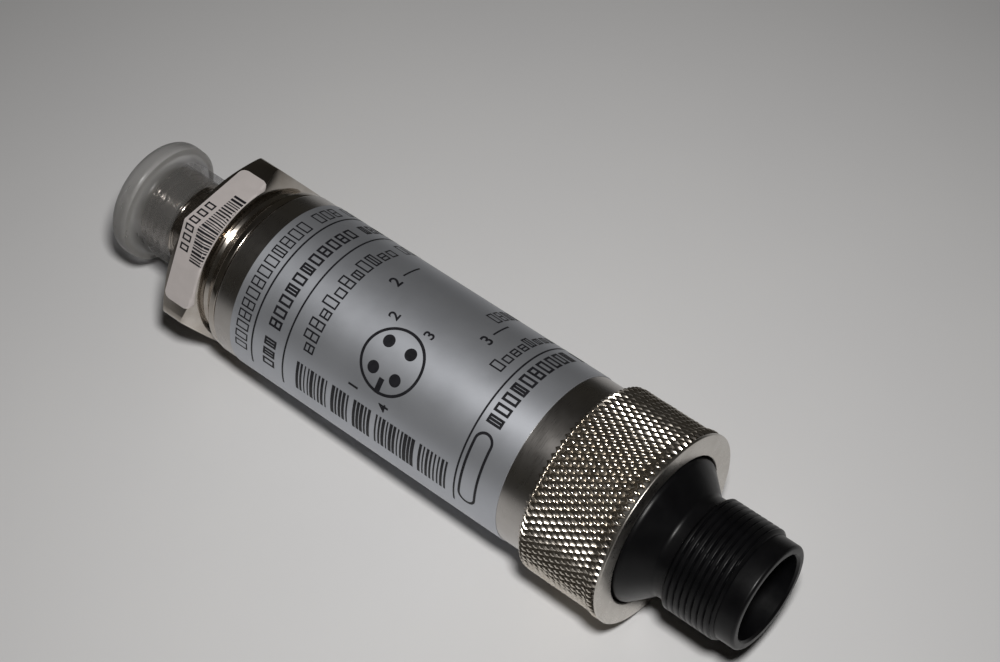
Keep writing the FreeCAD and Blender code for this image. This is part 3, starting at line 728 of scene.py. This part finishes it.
CAP = ClearPlastic(
    "cap_plastic", (0.62, 0.61, 0.585), (0.58, 0.57, 0.545), (0.26, 0.36), 0.0, 4.0,
    Grain.TURNED, 0.25, 0.002, 0.08, lump_mm=4.0, lump_depth_mm=0.006,
    extras=(("Transmission Weight", 0.60), ("IOR", 1.42)))
CARRIED = {made.name: made for made in (
    Finish("cell_steel", (0.58, 0.57, 0.55), (0.52, 0.51, 0.49), (0.2, 0.34), 1.0, 2.0, Grain.TURNED, 0.12),
    Finish("gold_contact", (0.78, 0.55, 0.20), (0.66, 0.45, 0.15), (0.16, 0.32), 1.0, 1.0,
           Grain.TURNED, 0.1),
    Finish("circuit_board", (0.02, 0.14, 0.05), (0.04, 0.22, 0.08), (0.25, 0.4), 0.0, 1.5,
           Grain.DRAWN, 0.4, 0.03, 0.5),
    Finish("amber_film", (0.50, 0.24, 0.04), (0.60, 0.32, 0.08), (0.15, 0.3), 0.0, 1.0),
    Finish("clear_liner", (0.68, 0.68, 0.64), (0.74, 0.73, 0.68), (0.25, 0.4)),
    Finish("holder_plastic", (0.04, 0.04, 0.045), (0.06, 0.06, 0.065), (0.4, 0.6), 0.0, 2.0),
    Finish("chip_resin", (0.02, 0.02, 0.022), (0.035, 0.035, 0.035), (0.5, 0.7), 0.0, 0.8),
    Finish("capacitor_can", (0.70, 0.70, 0.70), (0.62, 0.62, 0.63), (0.2, 0.35), 1.0, 1.5,
           Grain.EVEN, 0.15),
    Finish("lead_red", (0.45, 0.02, 0.02), (0.38, 0.02, 0.02), (0.3, 0.5), 0.0, 1.0),
    Finish("lead_blue", (0.02, 0.05, 0.36), (0.02, 0.04, 0.30), (0.3, 0.5), 0.0, 1.0),
    INSERT_PLASTIC,
)} | {"black_rubber": RUBBER}
"""Finishes of the pieces that keep their CAD shape, by material slot."""


@dataclass(frozen=True)
class PaleTable(Finish):
    """Pale laminate with a painted pool of light, dulled by painted shade away from it and darkened far off.
    """

    # Painted light: a pool of light and its falloff into shade, painted into the laminate's colour.
    painted_pool_middle: Triple = (40.0, 10.0, -14.3)
    painted_pool_mm: float = 150.0
    painted_dim_colour: Triple = (0.40, 0.40, 0.40)
    painted_shade_since_mm: float = 190.0
    painted_shade_until_mm: float = 360.0
    painted_far_shade: Triple = (0.03, 0.03, 0.028)

    def coloured(self, shader: Shader, patches: Socket) -> Socket:
        """Paints the light's falloff: painted shade that grows with the square of the distance from the
        pool's middle, then painted far shade.
        """
        away = shader.node("ShaderNodeVectorMath", shader.coordinates, [c * MM for c in self.painted_pool_middle],
                           operation="DISTANCE").outputs["Value"]
        share = shader.spread(away, 0.0, 1.0, 0.0, self.painted_pool_mm * MM)
        square = shader.node("ShaderNodeMath", share, 2.0, operation="POWER")
        painted_pool_colour = shader.blend(square.outputs[0], super().coloured(shader, patches), self.painted_dim_colour)
        # Painted shade: the floor darkens far from the object.
        painted_shade_share = shader.spread(away, 0.0, 1.0, self.painted_shade_since_mm * MM, self.painted_shade_until_mm * MM)
        return shader.blend(painted_shade_share, painted_pool_colour, self.painted_far_shade)


TABLE = PaleTable(
    "table_laminate", (0.78, 0.78, 0.78), (0.76, 0.76, 0.765), (0.34, 0.44), 0.0, 40.0,
    Grain.EVEN, 0.5, 0.01, 0.12, extras=(("Specular IOR Level", 0.35),))


@dataclass
class Assembly:
    """What all sub-assemblies share: the body that their pieces ride on."""

    body: str = "housing"

    def hand_over(self, slot: str, node: str, *pieces: Piece) -> None:
        """Parents the pieces to the body's empty and hides the CAD node that they stand in for.

        Args:
            slot: their material slot; not used.
            node: CAD node that the first piece stands in for, or nothing.
            pieces: the pieces.
        """
        for piece in pieces:
            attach(piece, self.body)
        if node:
            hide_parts(node)


@dataclass
class PortFitting(Assembly):
    """Stub with its thread, collar, hexagon, neck, rim and weld, milled from one bar, in mm."""

    flats: float = 27.0
    hex_start: float = 1.4
    hex_end: float = 8.0
    hex_bore: float = 11.4
    face_inset: float = 0.7
    chamfer_degrees: float = 30.0
    corner_cut: float = 0.16
    edge: float = 0.14
    spans_per_side: int = 30
    thread_radius: float = 6.58
    thread_pitch: float = 1.337
    thread_depth: float = 0.8
    thread_end: float = -4.55

    def build(self) -> None:
        """Builds the turned body, the hexagon and the thread."""
        end = Extent.of("port_fitting").start
        rim = Extent.of("housing_tube").reach - 0.2
        core = self.thread_radius - self.thread_depth - 0.15
        finish = BRIGHT_STEEL.build()
        turned = lathe("port_body", rounded([
            Corner(end, 2.9), Corner(end, self.thread_radius - 1.0), Corner(end + 0.9, core),
            Corner(-4.9, core), Corner(-4.6, 5.7), Corner(0.0, 5.7), Corner(1.6, 5.7), Corner(1.6, 8.35),
            Corner(0.0, 8.35, 0.12), Corner(0.0, 9.5, 0.15), Corner(self.hex_start + 0.4, 9.5),
            Corner(self.hex_start + 0.4, 11.6), Corner(self.hex_end - 0.2, 11.6),
            Corner(self.hex_end - 0.2, 12.0), Corner(self.hex_end + 0.55, 11.55, 0.3),
            Corner(10.15, 11.9, 0.2), Corner(10.15, rim, 0.35), Corner(11.35, rim, 0.3),
            Corner(11.5, 12.55, 0.1), Corner(11.62, 12.5), Corner(11.62, 11.95), Corner(16.0, 11.95),
            Corner(16.0, 8.05), Corner(13.0, 8.05), Corner(13.0, 2.5), Corner(end + 0.4, 2.5),
        ]), finish)
        hexagon = self.make_hexagon(finish)
        thread = HelicalThread(
            end + 0.05, self.thread_end, self.thread_pitch, self.thread_radius, core + 0.15,
            core - 0.1, 1.0).build("port_thread", finish)
        self.hand_over("machined_steel", "port_fitting", turned, hexagon, thread)
        LOG.info("port fitting: turned body, hexagon %.1f mm across, thread", self.flats)

    def make_hexagon(self, finish: Material) -> Piece:
        """Builds the hexagon with its two coned faces as a closed ring."""
        flat = self.flats / 2
        face = flat - self.face_inset
        slope = math.tan(math.radians(self.chamfer_degrees))
        half = math.radians(30)
        turns = [
            math.radians(60 * side) + math.atan((-1 + 2 * k / self.spans_per_side) * math.tan(half))
            for side in range(6) for k in range(self.spans_per_side)
        ]
        points = []
        for turn in turns:
            off = (turn + half) % (2 * half) - half
            outer = min(flat / math.cos(off), flat / math.cos(half) - self.corner_cut)
            run = (outer - face) * slope
            start, end, e = self.hex_start + run, self.hex_end - run, self.edge
            section = (
                (self.hex_start, self.hex_bore), (self.hex_start, face - e),
                (self.hex_start + e * 0.25, face), (start - e * 0.5, outer - e * 0.75),
                (start - e * 0.12, outer - e * 0.2), (start + e * 0.7, outer),
                (end - e * 0.7, outer), (end + e * 0.12, outer - e * 0.2),
                (end + e * 0.5, outer - e * 0.75), (self.hex_end - e * 0.25, face),
                (self.hex_end, face - e), (self.hex_end, self.hex_bore),
            )
            points += [(x, -r * math.sin(turn), r * math.cos(turn)) for x, r in section]
        faces = quads(len(turns), len(section), ring=True, loop=True)
        return make_piece("port_hexagon", points, faces, finish, 24.0)


@dataclass
class ProtectiveCap(Assembly):
    """Translucent pull-off cap over the stub, in mm."""

    mouth_radius: float = 7.7
    grip: float = 6.64
    bead_length: float = 3.5
    bead_round: float = 1.7
    recess: float = 5.5
    inside: float = -12.3
    end_wall: float = 1.2
    body: str = "cap"

    def build(self) -> None:
        """Builds the cap as one turned shell."""
        extent = Extent.of("protective_cap")
        bead, outside = extent.start + self.bead_length, self.inside - self.end_wall
        cap = lathe("end_cap", rounded([
            Corner(extent.end, self.grip, 0.2), Corner(extent.end, self.mouth_radius, 0.35),
            Corner(bead, self.mouth_radius, 1.9), Corner(bead, extent.reach, 1.1),
            Corner(extent.start, extent.reach, self.bead_round), Corner(extent.start, self.recess, 0.5),
            Corner(outside, self.recess, 0.4), Corner(outside, 0.0),
            Corner(self.inside, 0.0), Corner(self.inside, self.grip, 0.3),
        ], 8), CAP.build())
        self.hand_over("cap_plastic", "protective_cap", cap)
        LOG.info("protective cap: %.1f mm long, bead %.1f mm across", extent.length, extent.reach * 2)


@dataclass
class Housing(Assembly):
    """Polished tube and the silver foil label round it, in mm and degrees."""

    wall: float = 1.5
    edge: float = 0.25
    foil_under: float = 13.51
    foil: float = 0.1
    foil_edge: float = 0.05
    foil_spans: int = 232
    seam_degrees: float = 220.0
    sweep_degrees: float = 348.0

    def build(self) -> None:
        """Builds the tube and the foil."""
        extent = Extent.of("housing_tube")
        tube = lathe("steel_tube", rounded([
            Corner(extent.start, extent.reach - self.wall), Corner(extent.start, extent.reach, self.edge),
            Corner(extent.end, extent.reach, self.edge), Corner(extent.end, extent.reach - self.wall),
        ]), STEEL.build(), 240)
        foil = self.make_foil()
        self.hand_over("polished_steel", "housing_tube", tube)
        self.hand_over("silver_foil", "type_label", foil)
        LOG.info("housing: tube %.1f mm long and its foil", extent.length)

    def make_foil(self) -> Piece:
        """Builds the foil as a thin open sleeve."""
        extent = Extent.of("type_label")
        outer, inner, soft = self.foil_under + self.foil, self.foil_under, self.foil_edge
        ring = [
            (extent.start, inner), (extent.start, outer - soft), (extent.start + soft, outer),
            (extent.end - soft, outer), (extent.end, outer - soft), (extent.end, inner),
        ]
        first = self.seam_degrees + (360 - self.sweep_degrees) / 2
        points = []
        for s in range(self.foil_spans + 1):
            angle = math.radians(first + self.sweep_degrees * s / self.foil_spans)
            points += [(x, r * math.cos(angle), r * math.sin(angle)) for x, r in ring]
        count = len(ring)
        faces = quads(self.foil_spans + 1, count, loop=True)
        faces += [tuple(range(count)), tuple(reversed(range(len(points) - count, len(points))))]
        return make_piece("label_foil", points, faces, FOIL.build())


class PrintSheet:
    """Collects flat marks on the label and wraps them round it.

    A mark's place is its distance from the label's start and its turn from the line that faces
    the viewer, positive towards the far side. Lengths are in mm and turns in degrees.
    """

    LIFT = 0.018
    STEP = 2.0

    def __init__(self, radius: float, start: float) -> None:
        """Opens an empty sheet just over a radius."""
        self.radius = radius + self.LIFT
        self.start = start
        self.points: list[Triple] = []
        self.faces: list[Face] = []

    def spot(self, along: float, turn: float) -> Triple:
        """A point on the label."""
        angle = math.radians(FACING - turn)
        return (self.start + along, -self.radius * math.sin(angle), self.radius * math.cos(angle))

    def degrees(self, arc: float) -> float:
        """Turn that covers an arc in mm."""
        return math.degrees(arc / self.radius)

    def band(self, edges: list[tuple[Triple, ...]], ring: bool = False) -> None:
        """Adds a band between pairs of points."""
        self.faces += quads(len(edges), 2, len(self.points), ring)
        self.points += [point for edge in edges for point in edge]

    def bar(self, low: float, high: float, since: float, until: float) -> None:
        """Adds a rectangle between two stations and two turns."""
        steps = max(1, math.ceil((until - since) / self.STEP))
        turns = [since + (until - since) * k / steps for k in range(steps + 1)]
        self.band([(self.spot(low, turn), self.spot(high, turn)) for turn in turns])

    def frame(self, low: float, high: float, since: float, until: float, line: float) -> None:
        """Adds a hollow rectangle."""
        side = self.degrees(line)
        self.bar(low, low + line, since, until)
        self.bar(high - line, high, since, until)
        self.bar(low + line, high - line, since, since + side)
        self.bar(low + line, high - line, until - side, until)

    def ring(self, along: float, turn: float, radius: float, line: float, steps: int = 72) -> None:
        """Adds a circle drawn with a line, or a disc where the line is as wide as the radius."""
        angles = [2 * math.pi * k / steps for k in range(steps)]
        self.band([
            tuple(self.spot(along + r * math.cos(a), turn + self.degrees(r * math.sin(a)))
                  for r in (radius - line, radius)) for a in angles], ring=True)

    def pill(self, low: float, high: float, since: float, until: float, line: float) -> None:
        """Adds the outline of a rectangle with round ends."""
        radius, middle = (high - low) / 2, (low + high) / 2
        reach = self.degrees(radius)
        sweeps = [math.pi * k / 16 for k in range(17)]
        for end, centre in ((-1, since + reach), (1, until - reach)):
            self.band([
                tuple(self.spot(middle - end * r * math.cos(a), centre + end * self.degrees(r * math.sin(a)))
                      for r in (radius - line, radius)) for a in sweeps])
        for edge in (low, high - line):
            self.bar(edge, edge + line, since + reach, until - reach)

    def numeral(self, text: str, along: float, turn: float, height: float) -> None:
        """Adds a plain numeral, its top towards the label's start."""
        curve = bpy.data.curves.new("numeral", "FONT")
        curve.body = text
        curve.align_x, curve.align_y = "CENTER", "CENTER"
        curve.size, curve.offset = 1.0, 0.022
        holder = bpy.data.objects.new("numeral", curve)
        bpy.context.collection.objects.link(holder)
        bpy.context.view_layer.update()
        mesh = bpy.data.meshes.new_from_object(holder.evaluated_get(bpy.context.evaluated_depsgraph_get()))
        spots = [v.co.copy() for v in mesh.vertices]
        tall = max(v.y for v in spots) - min(v.y for v in spots)
        middle = (max(v.y for v in spots) + min(v.y for v in spots)) / 2
        base = len(self.points)
        for v in spots:
            self.points.append(self.spot(
                along - (v.y - middle) / tall * height, turn + self.degrees(v.x / tall * height)))
        self.faces += [tuple(base + i for i in face.vertices) for face in mesh.polygons]
        bpy.data.objects.remove(holder)
        bpy.data.meshes.remove(mesh)

    def piece(self, name: str, material: Material) -> Piece:
        """Makes the marks into one thin piece."""
        return make_piece(name, self.points, self.faces, material, 60.0, closed=False)


@dataclass(frozen=True)
class TextRow:
    """A row of generic character cells that stands where print would be, in mm and degrees."""

    low: float
    high: float
    since: float
    until: float
    pitch: float
    line: float
    words: tuple[int, ...]
    seed: int
    mixed: bool = False
    gap: float = 0.75
    cell_share: float = 0.74
    short_share: float = 0.6
    short_drop: float = 0.32

    def draw(self, sheet: PrintSheet) -> None:
        """Draws the cells of simple bars and frames."""
        rng = random.Random(self.seed)
        turn = self.since
        step = sheet.degrees(self.pitch)
        left = list(self.words)
        while turn + step < self.until and left:
            for _ in range(left.pop(0)):
                if turn + step > self.until:
                    break
                self.cell(sheet, turn, turn + step * self.cell_share, rng)
                turn += step
            turn += step * self.gap

    def cell(self, sheet: PrintSheet, since: float, until: float, rng: random.Random) -> None:
        """Draws one cell: a frame, plain or with one bar across or along it."""
        low, line = self.low, self.line
        if self.mixed and rng.random() < self.short_share:
            low += (self.high - self.low) * self.short_drop
        sheet.frame(low, self.high, since, until, line)
        kind = rng.randrange(4)
        middle = (low + self.high) / 2
        if kind == 1:
            sheet.bar(middle - line / 2, middle + line / 2, since, until)
        elif kind == 2:
            side = sheet.degrees(line)
            centre = (since + until) / 2
            sheet.bar(low + line, self.high - line, centre - side / 2, centre + side / 2)


@dataclass
class LabelPrint(Assembly):
    """What is printed on the label: ruled lines, rows, a contact diagram and stripes."""

    line: float = 0.3
    radius: float = 13.61
    near_end: float = -66.0
    far_end: float = 222.0

    def build(self) -> None:
        """Builds every mark on the label as thin pieces."""
        start = Extent.of("type_label").start
        ink = INK.build()
        rows = PrintSheet(self.radius, start)
        for low in (4.41, 10.52, 43.0):
            rows.bar(low - self.line / 2, low + self.line / 2, self.near_end, self.far_end)
        for row in (
            TextRow(1.15, 3.5, -58.0, 150.0, 1.80, 0.24, (13, 3, 6, 5), 11),
            TextRow(6.65, 8.9, -58.0, 150.0, 1.86, 0.36, (3, 11, 4, 6), 12),
            TextRow(12.7, 15.3, -30.0, 150.0, 1.86, 0.27, (12, 5, 4), 13, mixed=True),
            TextRow(32.4, 34.8, 57.0, 150.0, 1.7, 0.26, (4, 5), 14),
            TextRow(39.2, 41.4, 25.0, 150.0, 1.75, 0.26, (8, 7, 4), 15, mixed=True),
            TextRow(44.0, 46.6, -4.0, 160.0, 1.85, 0.40, (10, 8), 16),
        ):
            row.draw(rows)
        rows.bar(19.05, 19.35, 46.0, 62.0)
        rows.bar(35.95, 36.25, 45.0, 60.0)
        rows.pill(43.7, 46.9, -61.0, -9.0, 0.42)
        diagram = PrintSheet(self.radius, start)
        self.draw_diagram(diagram)
        stripes = StripeField(
            start + 13.0, 28.6, FACING + 62.0, 5.4, self.radius + PrintSheet.LIFT, 42, 7)
        for piece in (
            rows.piece("label_rows", ink),
            diagram.piece("contact_diagram", ink),
            stripes.build("label_stripes", ink),
        ):
            turn_outwards(piece)
            self.hand_over("silver_foil", "", piece)
        LOG.info("label print: rows, diagram and stripes")

    def draw_diagram(self, sheet: PrintSheet) -> None:
        """Draws the face of the plug: a circle, four contacts, the key and their numbers."""
        sheet.ring(27.15, -5.5, 5.1, 0.45)
        for along, turn in ((25.05, 4.0), (29.05, 4.0), (25.0, -14.0), (29.0, -14.0)):
            sheet.ring(along, turn, 0.95, 0.95, 32)
        sheet.bar(26.6, 27.5, -27.0, -17.0)
        for text, along, turn, height in (
            ("2", 23.2, 18.5, 1.75), ("3", 29.4, 20.0, 1.75), ("1", 23.2, -31.5, 1.75),
            ("4", 28.9, -33.0, 1.75), ("2", 19.3, 38.5, 2.0), ("3", 36.2, 38.5, 2.0),
        ):
            sheet.numeral(text, along, turn, height)


@dataclass
class HexSticker(Assembly):
    """Paper sticker bent over the hexagon's ridge and down its chamfer, with its print, in mm."""

    flat: float = 13.5
    face: float = 12.8
    hex_end: float = 8.0
    upper: float = 12.4
    lower: float = 13.0
    corner: float = 1.0
    paper: float = 0.11
    under: float = 0.004
    ink_lift: float = 0.022
    line: float = 0.28
    stripe_widths: tuple[float, ...] = (0.20, 0.20, 0.30, 0.42)
    stripe_gaps: tuple[float, ...] = (0.20, 0.20, 0.26)
    stripe_run: Pair = (-5.6, 7.5)
    cells: int = 6
    first_cell: float = -4.6
    cell_pitch: float = 1.62
    cell_width: float = 1.1
    spans_across: int = 130
    spans_along: int = 24
    mark_spans: int = 12
    mark_step: float = 0.2

    def build(self) -> None:
        """Builds the paper and the stripes and cells on it."""
        extent = Extent.of("hex_sticker")
        paper = self.make_paper(extent)
        self.hand_over("white_paper", "hex_sticker", paper, self.make_print(extent.start))
        LOG.info("sticker: paper and print")

    def spot(self, along: float, run: float, lift: float) -> Triple:
        """A point over the hexagon.

        Args:
            along: station on the axis.
            run: distance from the ridge, positive over the top flat.
            lift: height over the steel.

        Returns:
            The point in mm.
        """
        half_side = self.flat * math.tan(math.radians(30))
        off = math.atan((half_side - abs(run)) / self.flat)
        angle = off if run >= 0 else math.radians(60) - off
        cone = self.face + (self.hex_end - along) / math.tan(math.radians(30)) + lift * 1.15
        radius = min((self.flat + lift) / math.cos(off), cone)
        return (along, -radius * math.sin(angle), radius * math.cos(angle))

    def make_paper(self, extent: Extent) -> Piece:
        """Builds the paper as a thin closed sheet with rounded corners."""
        steps, rows = self.spans_across, self.spans_along
        points: list[Triple] = []
        for layer in (self.paper, self.under):
            for i in range(steps + 1):
                run = -self.lower + (self.upper + self.lower) * i / steps
                edge = min(run + self.lower, self.upper - run)
                short = max(0.0, self.corner - edge)
                inset = self.corner - math.sqrt(max(0.0, self.corner ** 2 - short ** 2))
                low, high = extent.start + inset, extent.end - inset
                points += [self.spot(low + (high - low) * k / rows, run, layer) for k in range(rows + 1)]
        size = (steps + 1) * (rows + 1)
        faces = quads(steps + 1, rows + 1)
        faces += [tuple(size + v for v in reversed(quad)) for quad in faces]
        rim = list(range(rows + 1))
        rim += [i * (rows + 1) + rows for i in range(1, steps + 1)]
        rim += [steps * (rows + 1) + k for k in reversed(range(rows))]
        rim += [i * (rows + 1) for i in reversed(range(1, steps))]
        faces += [(a, b, size + b, size + a) for a, b in zip(rim, rim[1:] + rim[:1])]
        return make_piece("sticker_paper", points, faces, PAPER.build(), 40.0)

    def make_print(self, start: float) -> Piece:
        """Builds the stripes and the row of cells.

        Args:
            start: station of the paper's edge.

        Returns:
            The marks as one thin piece that follows the paper.
        """
        rng = random.Random(23)
        run, last = self.stripe_run
        marks = []
        while run < last:
            width = rng.choice(self.stripe_widths)
            marks.append((2.75, 5.05, run, run + width))
            run += width + rng.choice(self.stripe_gaps)
        low, high, line = 0.5, 2.1, self.line
        for k in range(self.cells):
            since = self.first_cell + self.cell_pitch * k
            until = since + self.cell_width
            marks += [(low, low + line, since, until), (high - line, high, since, until),
                      (low, high, since, since + line), (low, high, until - line, until)]
        points: list[Triple] = []
        faces: list[Face] = []
        rows = self.mark_spans
        for low, high, since, until in marks:
            turns = max(1, math.ceil((until - since) / self.mark_step))
            faces += quads(turns + 1, rows + 1, len(points))
            points += [
                self.spot(start + low + (high - low) * k / rows, since + (until - since) * i / turns,
                          self.paper + self.ink_lift)
                for i in range(turns + 1) for k in range(rows + 1)]
        piece = make_piece("sticker_print", points, faces, INK.build(), 60.0, closed=False)
        turn_outwards(piece)
        return piece


@dataclass
class RingNut(Assembly):
    """Knurled union nut: a turned ring with a lip, under a crossed knurl, in mm."""

    bore: float = 13.56
    hole: float = 11.8
    seat: float = 82.7
    knurl_floor: float = 14.50
    columns: int = 80
    body: str = "ring"

    def build(self) -> None:
        """Builds the ring and its knurl."""
        extent = Extent.of("knurled_ring")
        start, end = extent.start, extent.end
        crest, rim = extent.reach - 0.3, extent.reach - 0.06
        ring = lathe("nut_ring", rounded([
            Corner(start, self.bore, 0.15), Corner(start, crest - 0.75, 0.2),
            Corner(start + 0.35, self.knurl_floor), Corner(end - 0.6, self.knurl_floor + 0.1),
            Corner(end - 0.42, rim, 0.12), Corner(end, rim, 0.16), Corner(end, self.hole, 0.25),
            Corner(self.seat, self.hole), Corner(self.seat, self.bore),
        ]), NICKEL_FACE.build(), 240)
        knurl = DiamondKnurl(
            start=start + 0.15, end=end - 1.06, columns=self.columns, half_length=0.96, root=14.60,
            crest=crest, flare=extent.reach - 0.02, flare_start=end - 2.3, rear_edge=start - 0.2,
            rear_round=0.9, top=0.16, unevenness=0.22, seed=5).build("nut_knurl", NICKEL.build())
        turn_outwards(knurl)
        self.hand_over("nickel_plate", "knurled_ring", ring, knurl)
        LOG.info("ring nut: %d knurl columns", self.columns)


@dataclass
class PlugConnector(Assembly):
    """Black moulded plug: skirt, flange, dome, neck, fine thread and open socket, in mm."""

    thread_crest: float = 8.85
    thread_root: float = 8.36
    pitch: float = 1.0
    neck: float = 8.1
    nose: float = 8.27
    socket: float = 6.8
    socket_floor: float = 82.37
    key: Pair = (87.67, 96.07)
    key_half: float = 0.7

    def build(self) -> None:
        """Builds the moulded shell, its thread and its key rib."""
        extent = Extent.of("connector_body")
        lip = Extent.of("housing_tube").end
        end = extent.end
        finish = BLACK_PLASTIC.build()
        thread_start, thread_end = end - 11.95, end - 3.2
        shell = lathe("plug_shell", rounded([
            Corner(extent.start, 9.5), Corner(extent.start, 11.7, 0.3), Corner(76.55, 11.7),
            Corner(76.55, 10.54), Corner(78.35, 10.54), Corner(78.35, 11.7), Corner(lip, 11.7),
            Corner(lip, 13.2), Corner(82.6, 13.2, 0.1), Corner(82.6, 11.55), Corner(84.8, 11.45, 1.1),
            Corner(88.5, self.neck, 1.0), Corner(thread_start, self.neck), Corner(thread_start + 0.3, 8.2),
            Corner(thread_end, 8.2), Corner(thread_end + 0.1, self.nose, 0.1), Corner(end, self.nose, 0.5),
            Corner(end, self.socket + 0.3, 0.15), Corner(end - 0.35, self.socket),
            Corner(self.socket_floor, self.socket), Corner(self.socket_floor, 8.46),
            Corner(80.57, 8.46), Corner(80.57, 9.5),
        ], 10), finish, 200)
        thread = HelicalThread(
            thread_start, thread_end + 0.15, self.pitch, self.thread_crest, self.thread_root,
            self.neck - 0.02, 0.55, 2.9, 0.62).build("plug_thread", finish)
        self.hand_over("black_plastic", "connector_body", shell, thread, self.make_key(finish))
        LOG.info("plug connector: shell, thread and key rib")

    def make_key(self, finish: Material) -> Piece:
        """Builds the key rib in the socket as a bar with a rounded top."""
        half, reach, floor = self.key_half, self.socket + 0.5, self.socket - 0.8
        section = [(-half, reach), (-half, floor + 0.25), (-half + 0.1, floor + 0.07), (-half + 0.25, floor),
                   (half - 0.25, floor), (half - 0.1, floor + 0.07), (half, floor + 0.25), (half, reach)]
        count = len(section)
        points = [(x, y, z) for x in self.key for y, z in section]
        faces = quads(2, count, loop=True)
        faces += [tuple(range(count)), tuple(reversed(range(count, 2 * count)))]
        return make_piece("socket_key", points, faces, finish)


@dataclass
class CarriedNodes:
    """CAD nodes that keep their shape and get a worked finish."""

    replaced: tuple[str, ...] = (
        "port_fitting", "protective_cap", "housing_tube", "type_label", "connector_body", "knurled_ring",
        "hex_sticker")

    def build(self) -> None:
        """Gives each carried node the finish of its material slot."""
        slots = {part["node"]: part["material_slot"] for part in frame["record"]["subparts"]}
        made: dict[str, Material] = {}
        for name, node in frame["nodes"].items():
            if name in self.replaced:
                continue
            slot = slots[name]
            if slot not in made:
                made[slot] = CARRIED[slot].build()
            node.data.materials.clear()
            node.data.materials.append(made[slot])
        LOG.info("carried nodes: %d finishes", len(made))


@dataclass
class Stage:
    """Pale table, lamp, dim room and camera, in mm, degrees and watts."""

    hexagon_foot: Pair = (1.8, -13.5)
    ring_foot: Pair = (83.5, -15.3)
    reach: float = 2500.0
    camera_place: Triple = (190.649, -149.159, 280.528)
    azimuth: float = -42.08
    elevation: float = 52.16
    roll: float = -2.93
    lens: float = 87.31
    lamp_up: float = 58.0
    lamp_right: float = 20.0
    lamp_size: float = 46.0
    lamp_watts: float = 1.02
    lamp_aim: Triple = (45.0, 0.0, 0.0)
    room_stops: tuple[tuple[float, Triple], ...] = (
        (0.0, (0.012, 0.0115, 0.010)), (0.35, (0.013, 0.012, 0.010)), (1.0, (0.008, 0.0075, 0.007)))
    room_light: float = 0.35
    room_seen: float = 2.4

    def build(self) -> None:
        """Builds the table, the light and the camera."""
        self.make_table()
        right, up, forward = self.make_camera()
        self.make_lamp(right, up)
        self.make_room()
        LOG.info("stage: table, lamp, room and camera")

    def make_table(self) -> None:
        """Lays the table under the hexagon's flat and the ring's rim."""
        (x0, z0), (x1, z1) = self.hexagon_foot, self.ring_foot
        slope = (z1 - z0) / (x1 - x0)
        points = [(x, y, z0 + (x - x0) * slope - 0.01)
                  for x, y in ((-self.reach, -self.reach), (self.reach, -self.reach),
                               (self.reach, self.reach), (-self.reach, self.reach))]
        table = make_piece("table", points, [(0, 1, 2, 3)], TABLE.build(), closed=False)

    def make_camera(self) -> tuple[Vector, Vector, Vector]:
        """Places the camera.

        Returns:
            Its right, up and forward directions.
        """
        a, e = math.radians(self.azimuth), math.radians(self.elevation)
        forward = Vector((math.sin(a) * math.cos(e), math.cos(a) * math.cos(e), -math.sin(e)))
        level = forward.cross(Vector((0, 0, 1))).normalized()
        right = Matrix.Rotation(math.radians(-self.roll), 3, forward) @ level
        up = right.cross(forward)
        data = bpy.data.cameras.new("camera")
        data.lens, data.sensor_width = self.lens, 36.0
        data.clip_start, data.clip_end = 0.01, 20.0
        camera = bpy.data.objects.new("camera", data)
        bpy.context.collection.objects.link(camera)
        turn = Matrix((right, up, -forward)).transposed().to_4x4()
        camera.matrix_world = Matrix.Translation(Vector(self.camera_place) * MM) @ turn
        bpy.context.scene.camera = camera
        return right, up, forward

    def make_lamp(self, right: Vector, up: Vector) -> None:
        """Hangs the lamp beside the camera, aimed at the object."""
        place = Vector(self.camera_place) + up * self.lamp_up + right * self.lamp_right
        aim = (Vector(self.lamp_aim) - place).normalized()
        data = bpy.data.lights.new("lamp", "AREA")
        data.shape, data.size, data.energy = "DISK", self.lamp_size * MM, self.lamp_watts
        data.color = (1.0, 0.985, 0.97)
        lamp = bpy.data.objects.new("lamp", data)
        bpy.context.collection.objects.link(lamp)
        lamp.rotation_mode = "QUATERNION"
        lamp.rotation_quaternion = aim.to_track_quat("-Z", "Y")
        lamp.location = place * MM

    def make_room(self) -> None:
        """Sets the dim room, brighter to what the camera, metal and clear plastic see than as a light."""
        world = bpy.data.worlds.new("room")
        bpy.context.scene.world = world
        world.use_nodes = True
        tree = Nodes(world.node_tree)
        place = tree.node("ShaderNodeTexCoord").outputs["Generated"]
        height = tree.node("ShaderNodeSeparateXYZ", place).outputs[2]
        ramp = tree.node("ShaderNodeValToRGB", height)
        stops = ramp.color_ramp.elements
        stops.new(self.room_stops[1][0])
        for stop, (position, colour) in zip(stops, self.room_stops):
            stop.position, stop.color = position, (*colour, 1.0)
        paths = tree.node("ShaderNodeLightPath").outputs
        seen = paths["Is Camera Ray"]
        for ray in ("Is Glossy Ray", "Is Transmission Ray"):
            seen = tree.node("ShaderNodeMath", seen, paths[ray], operation="MAXIMUM").outputs[0]
        level = tree.node("ShaderNodeMapRange", seen, 0.0, 1.0, self.room_light, self.room_seen)
        background = tree.nodes["Background"]
        tree.feed(background.inputs["Color"], ramp.outputs[0])
        tree.feed(background.inputs["Strength"], level.outputs[0])


def main() -> None:
    logging.basicConfig(level=logging.INFO, format="%(name)s %(message)s")
    scene = bpy.context.scene
    scene.view_settings.view_transform = "Standard"
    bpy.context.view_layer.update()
    for part in (
        PortFitting(), ProtectiveCap(), Housing(), LabelPrint(), HexSticker(), RingNut(),
        PlugConnector(), CarriedNodes(), Stage(),
    ):
        part.build()


if __name__ == "__main__":
    main()
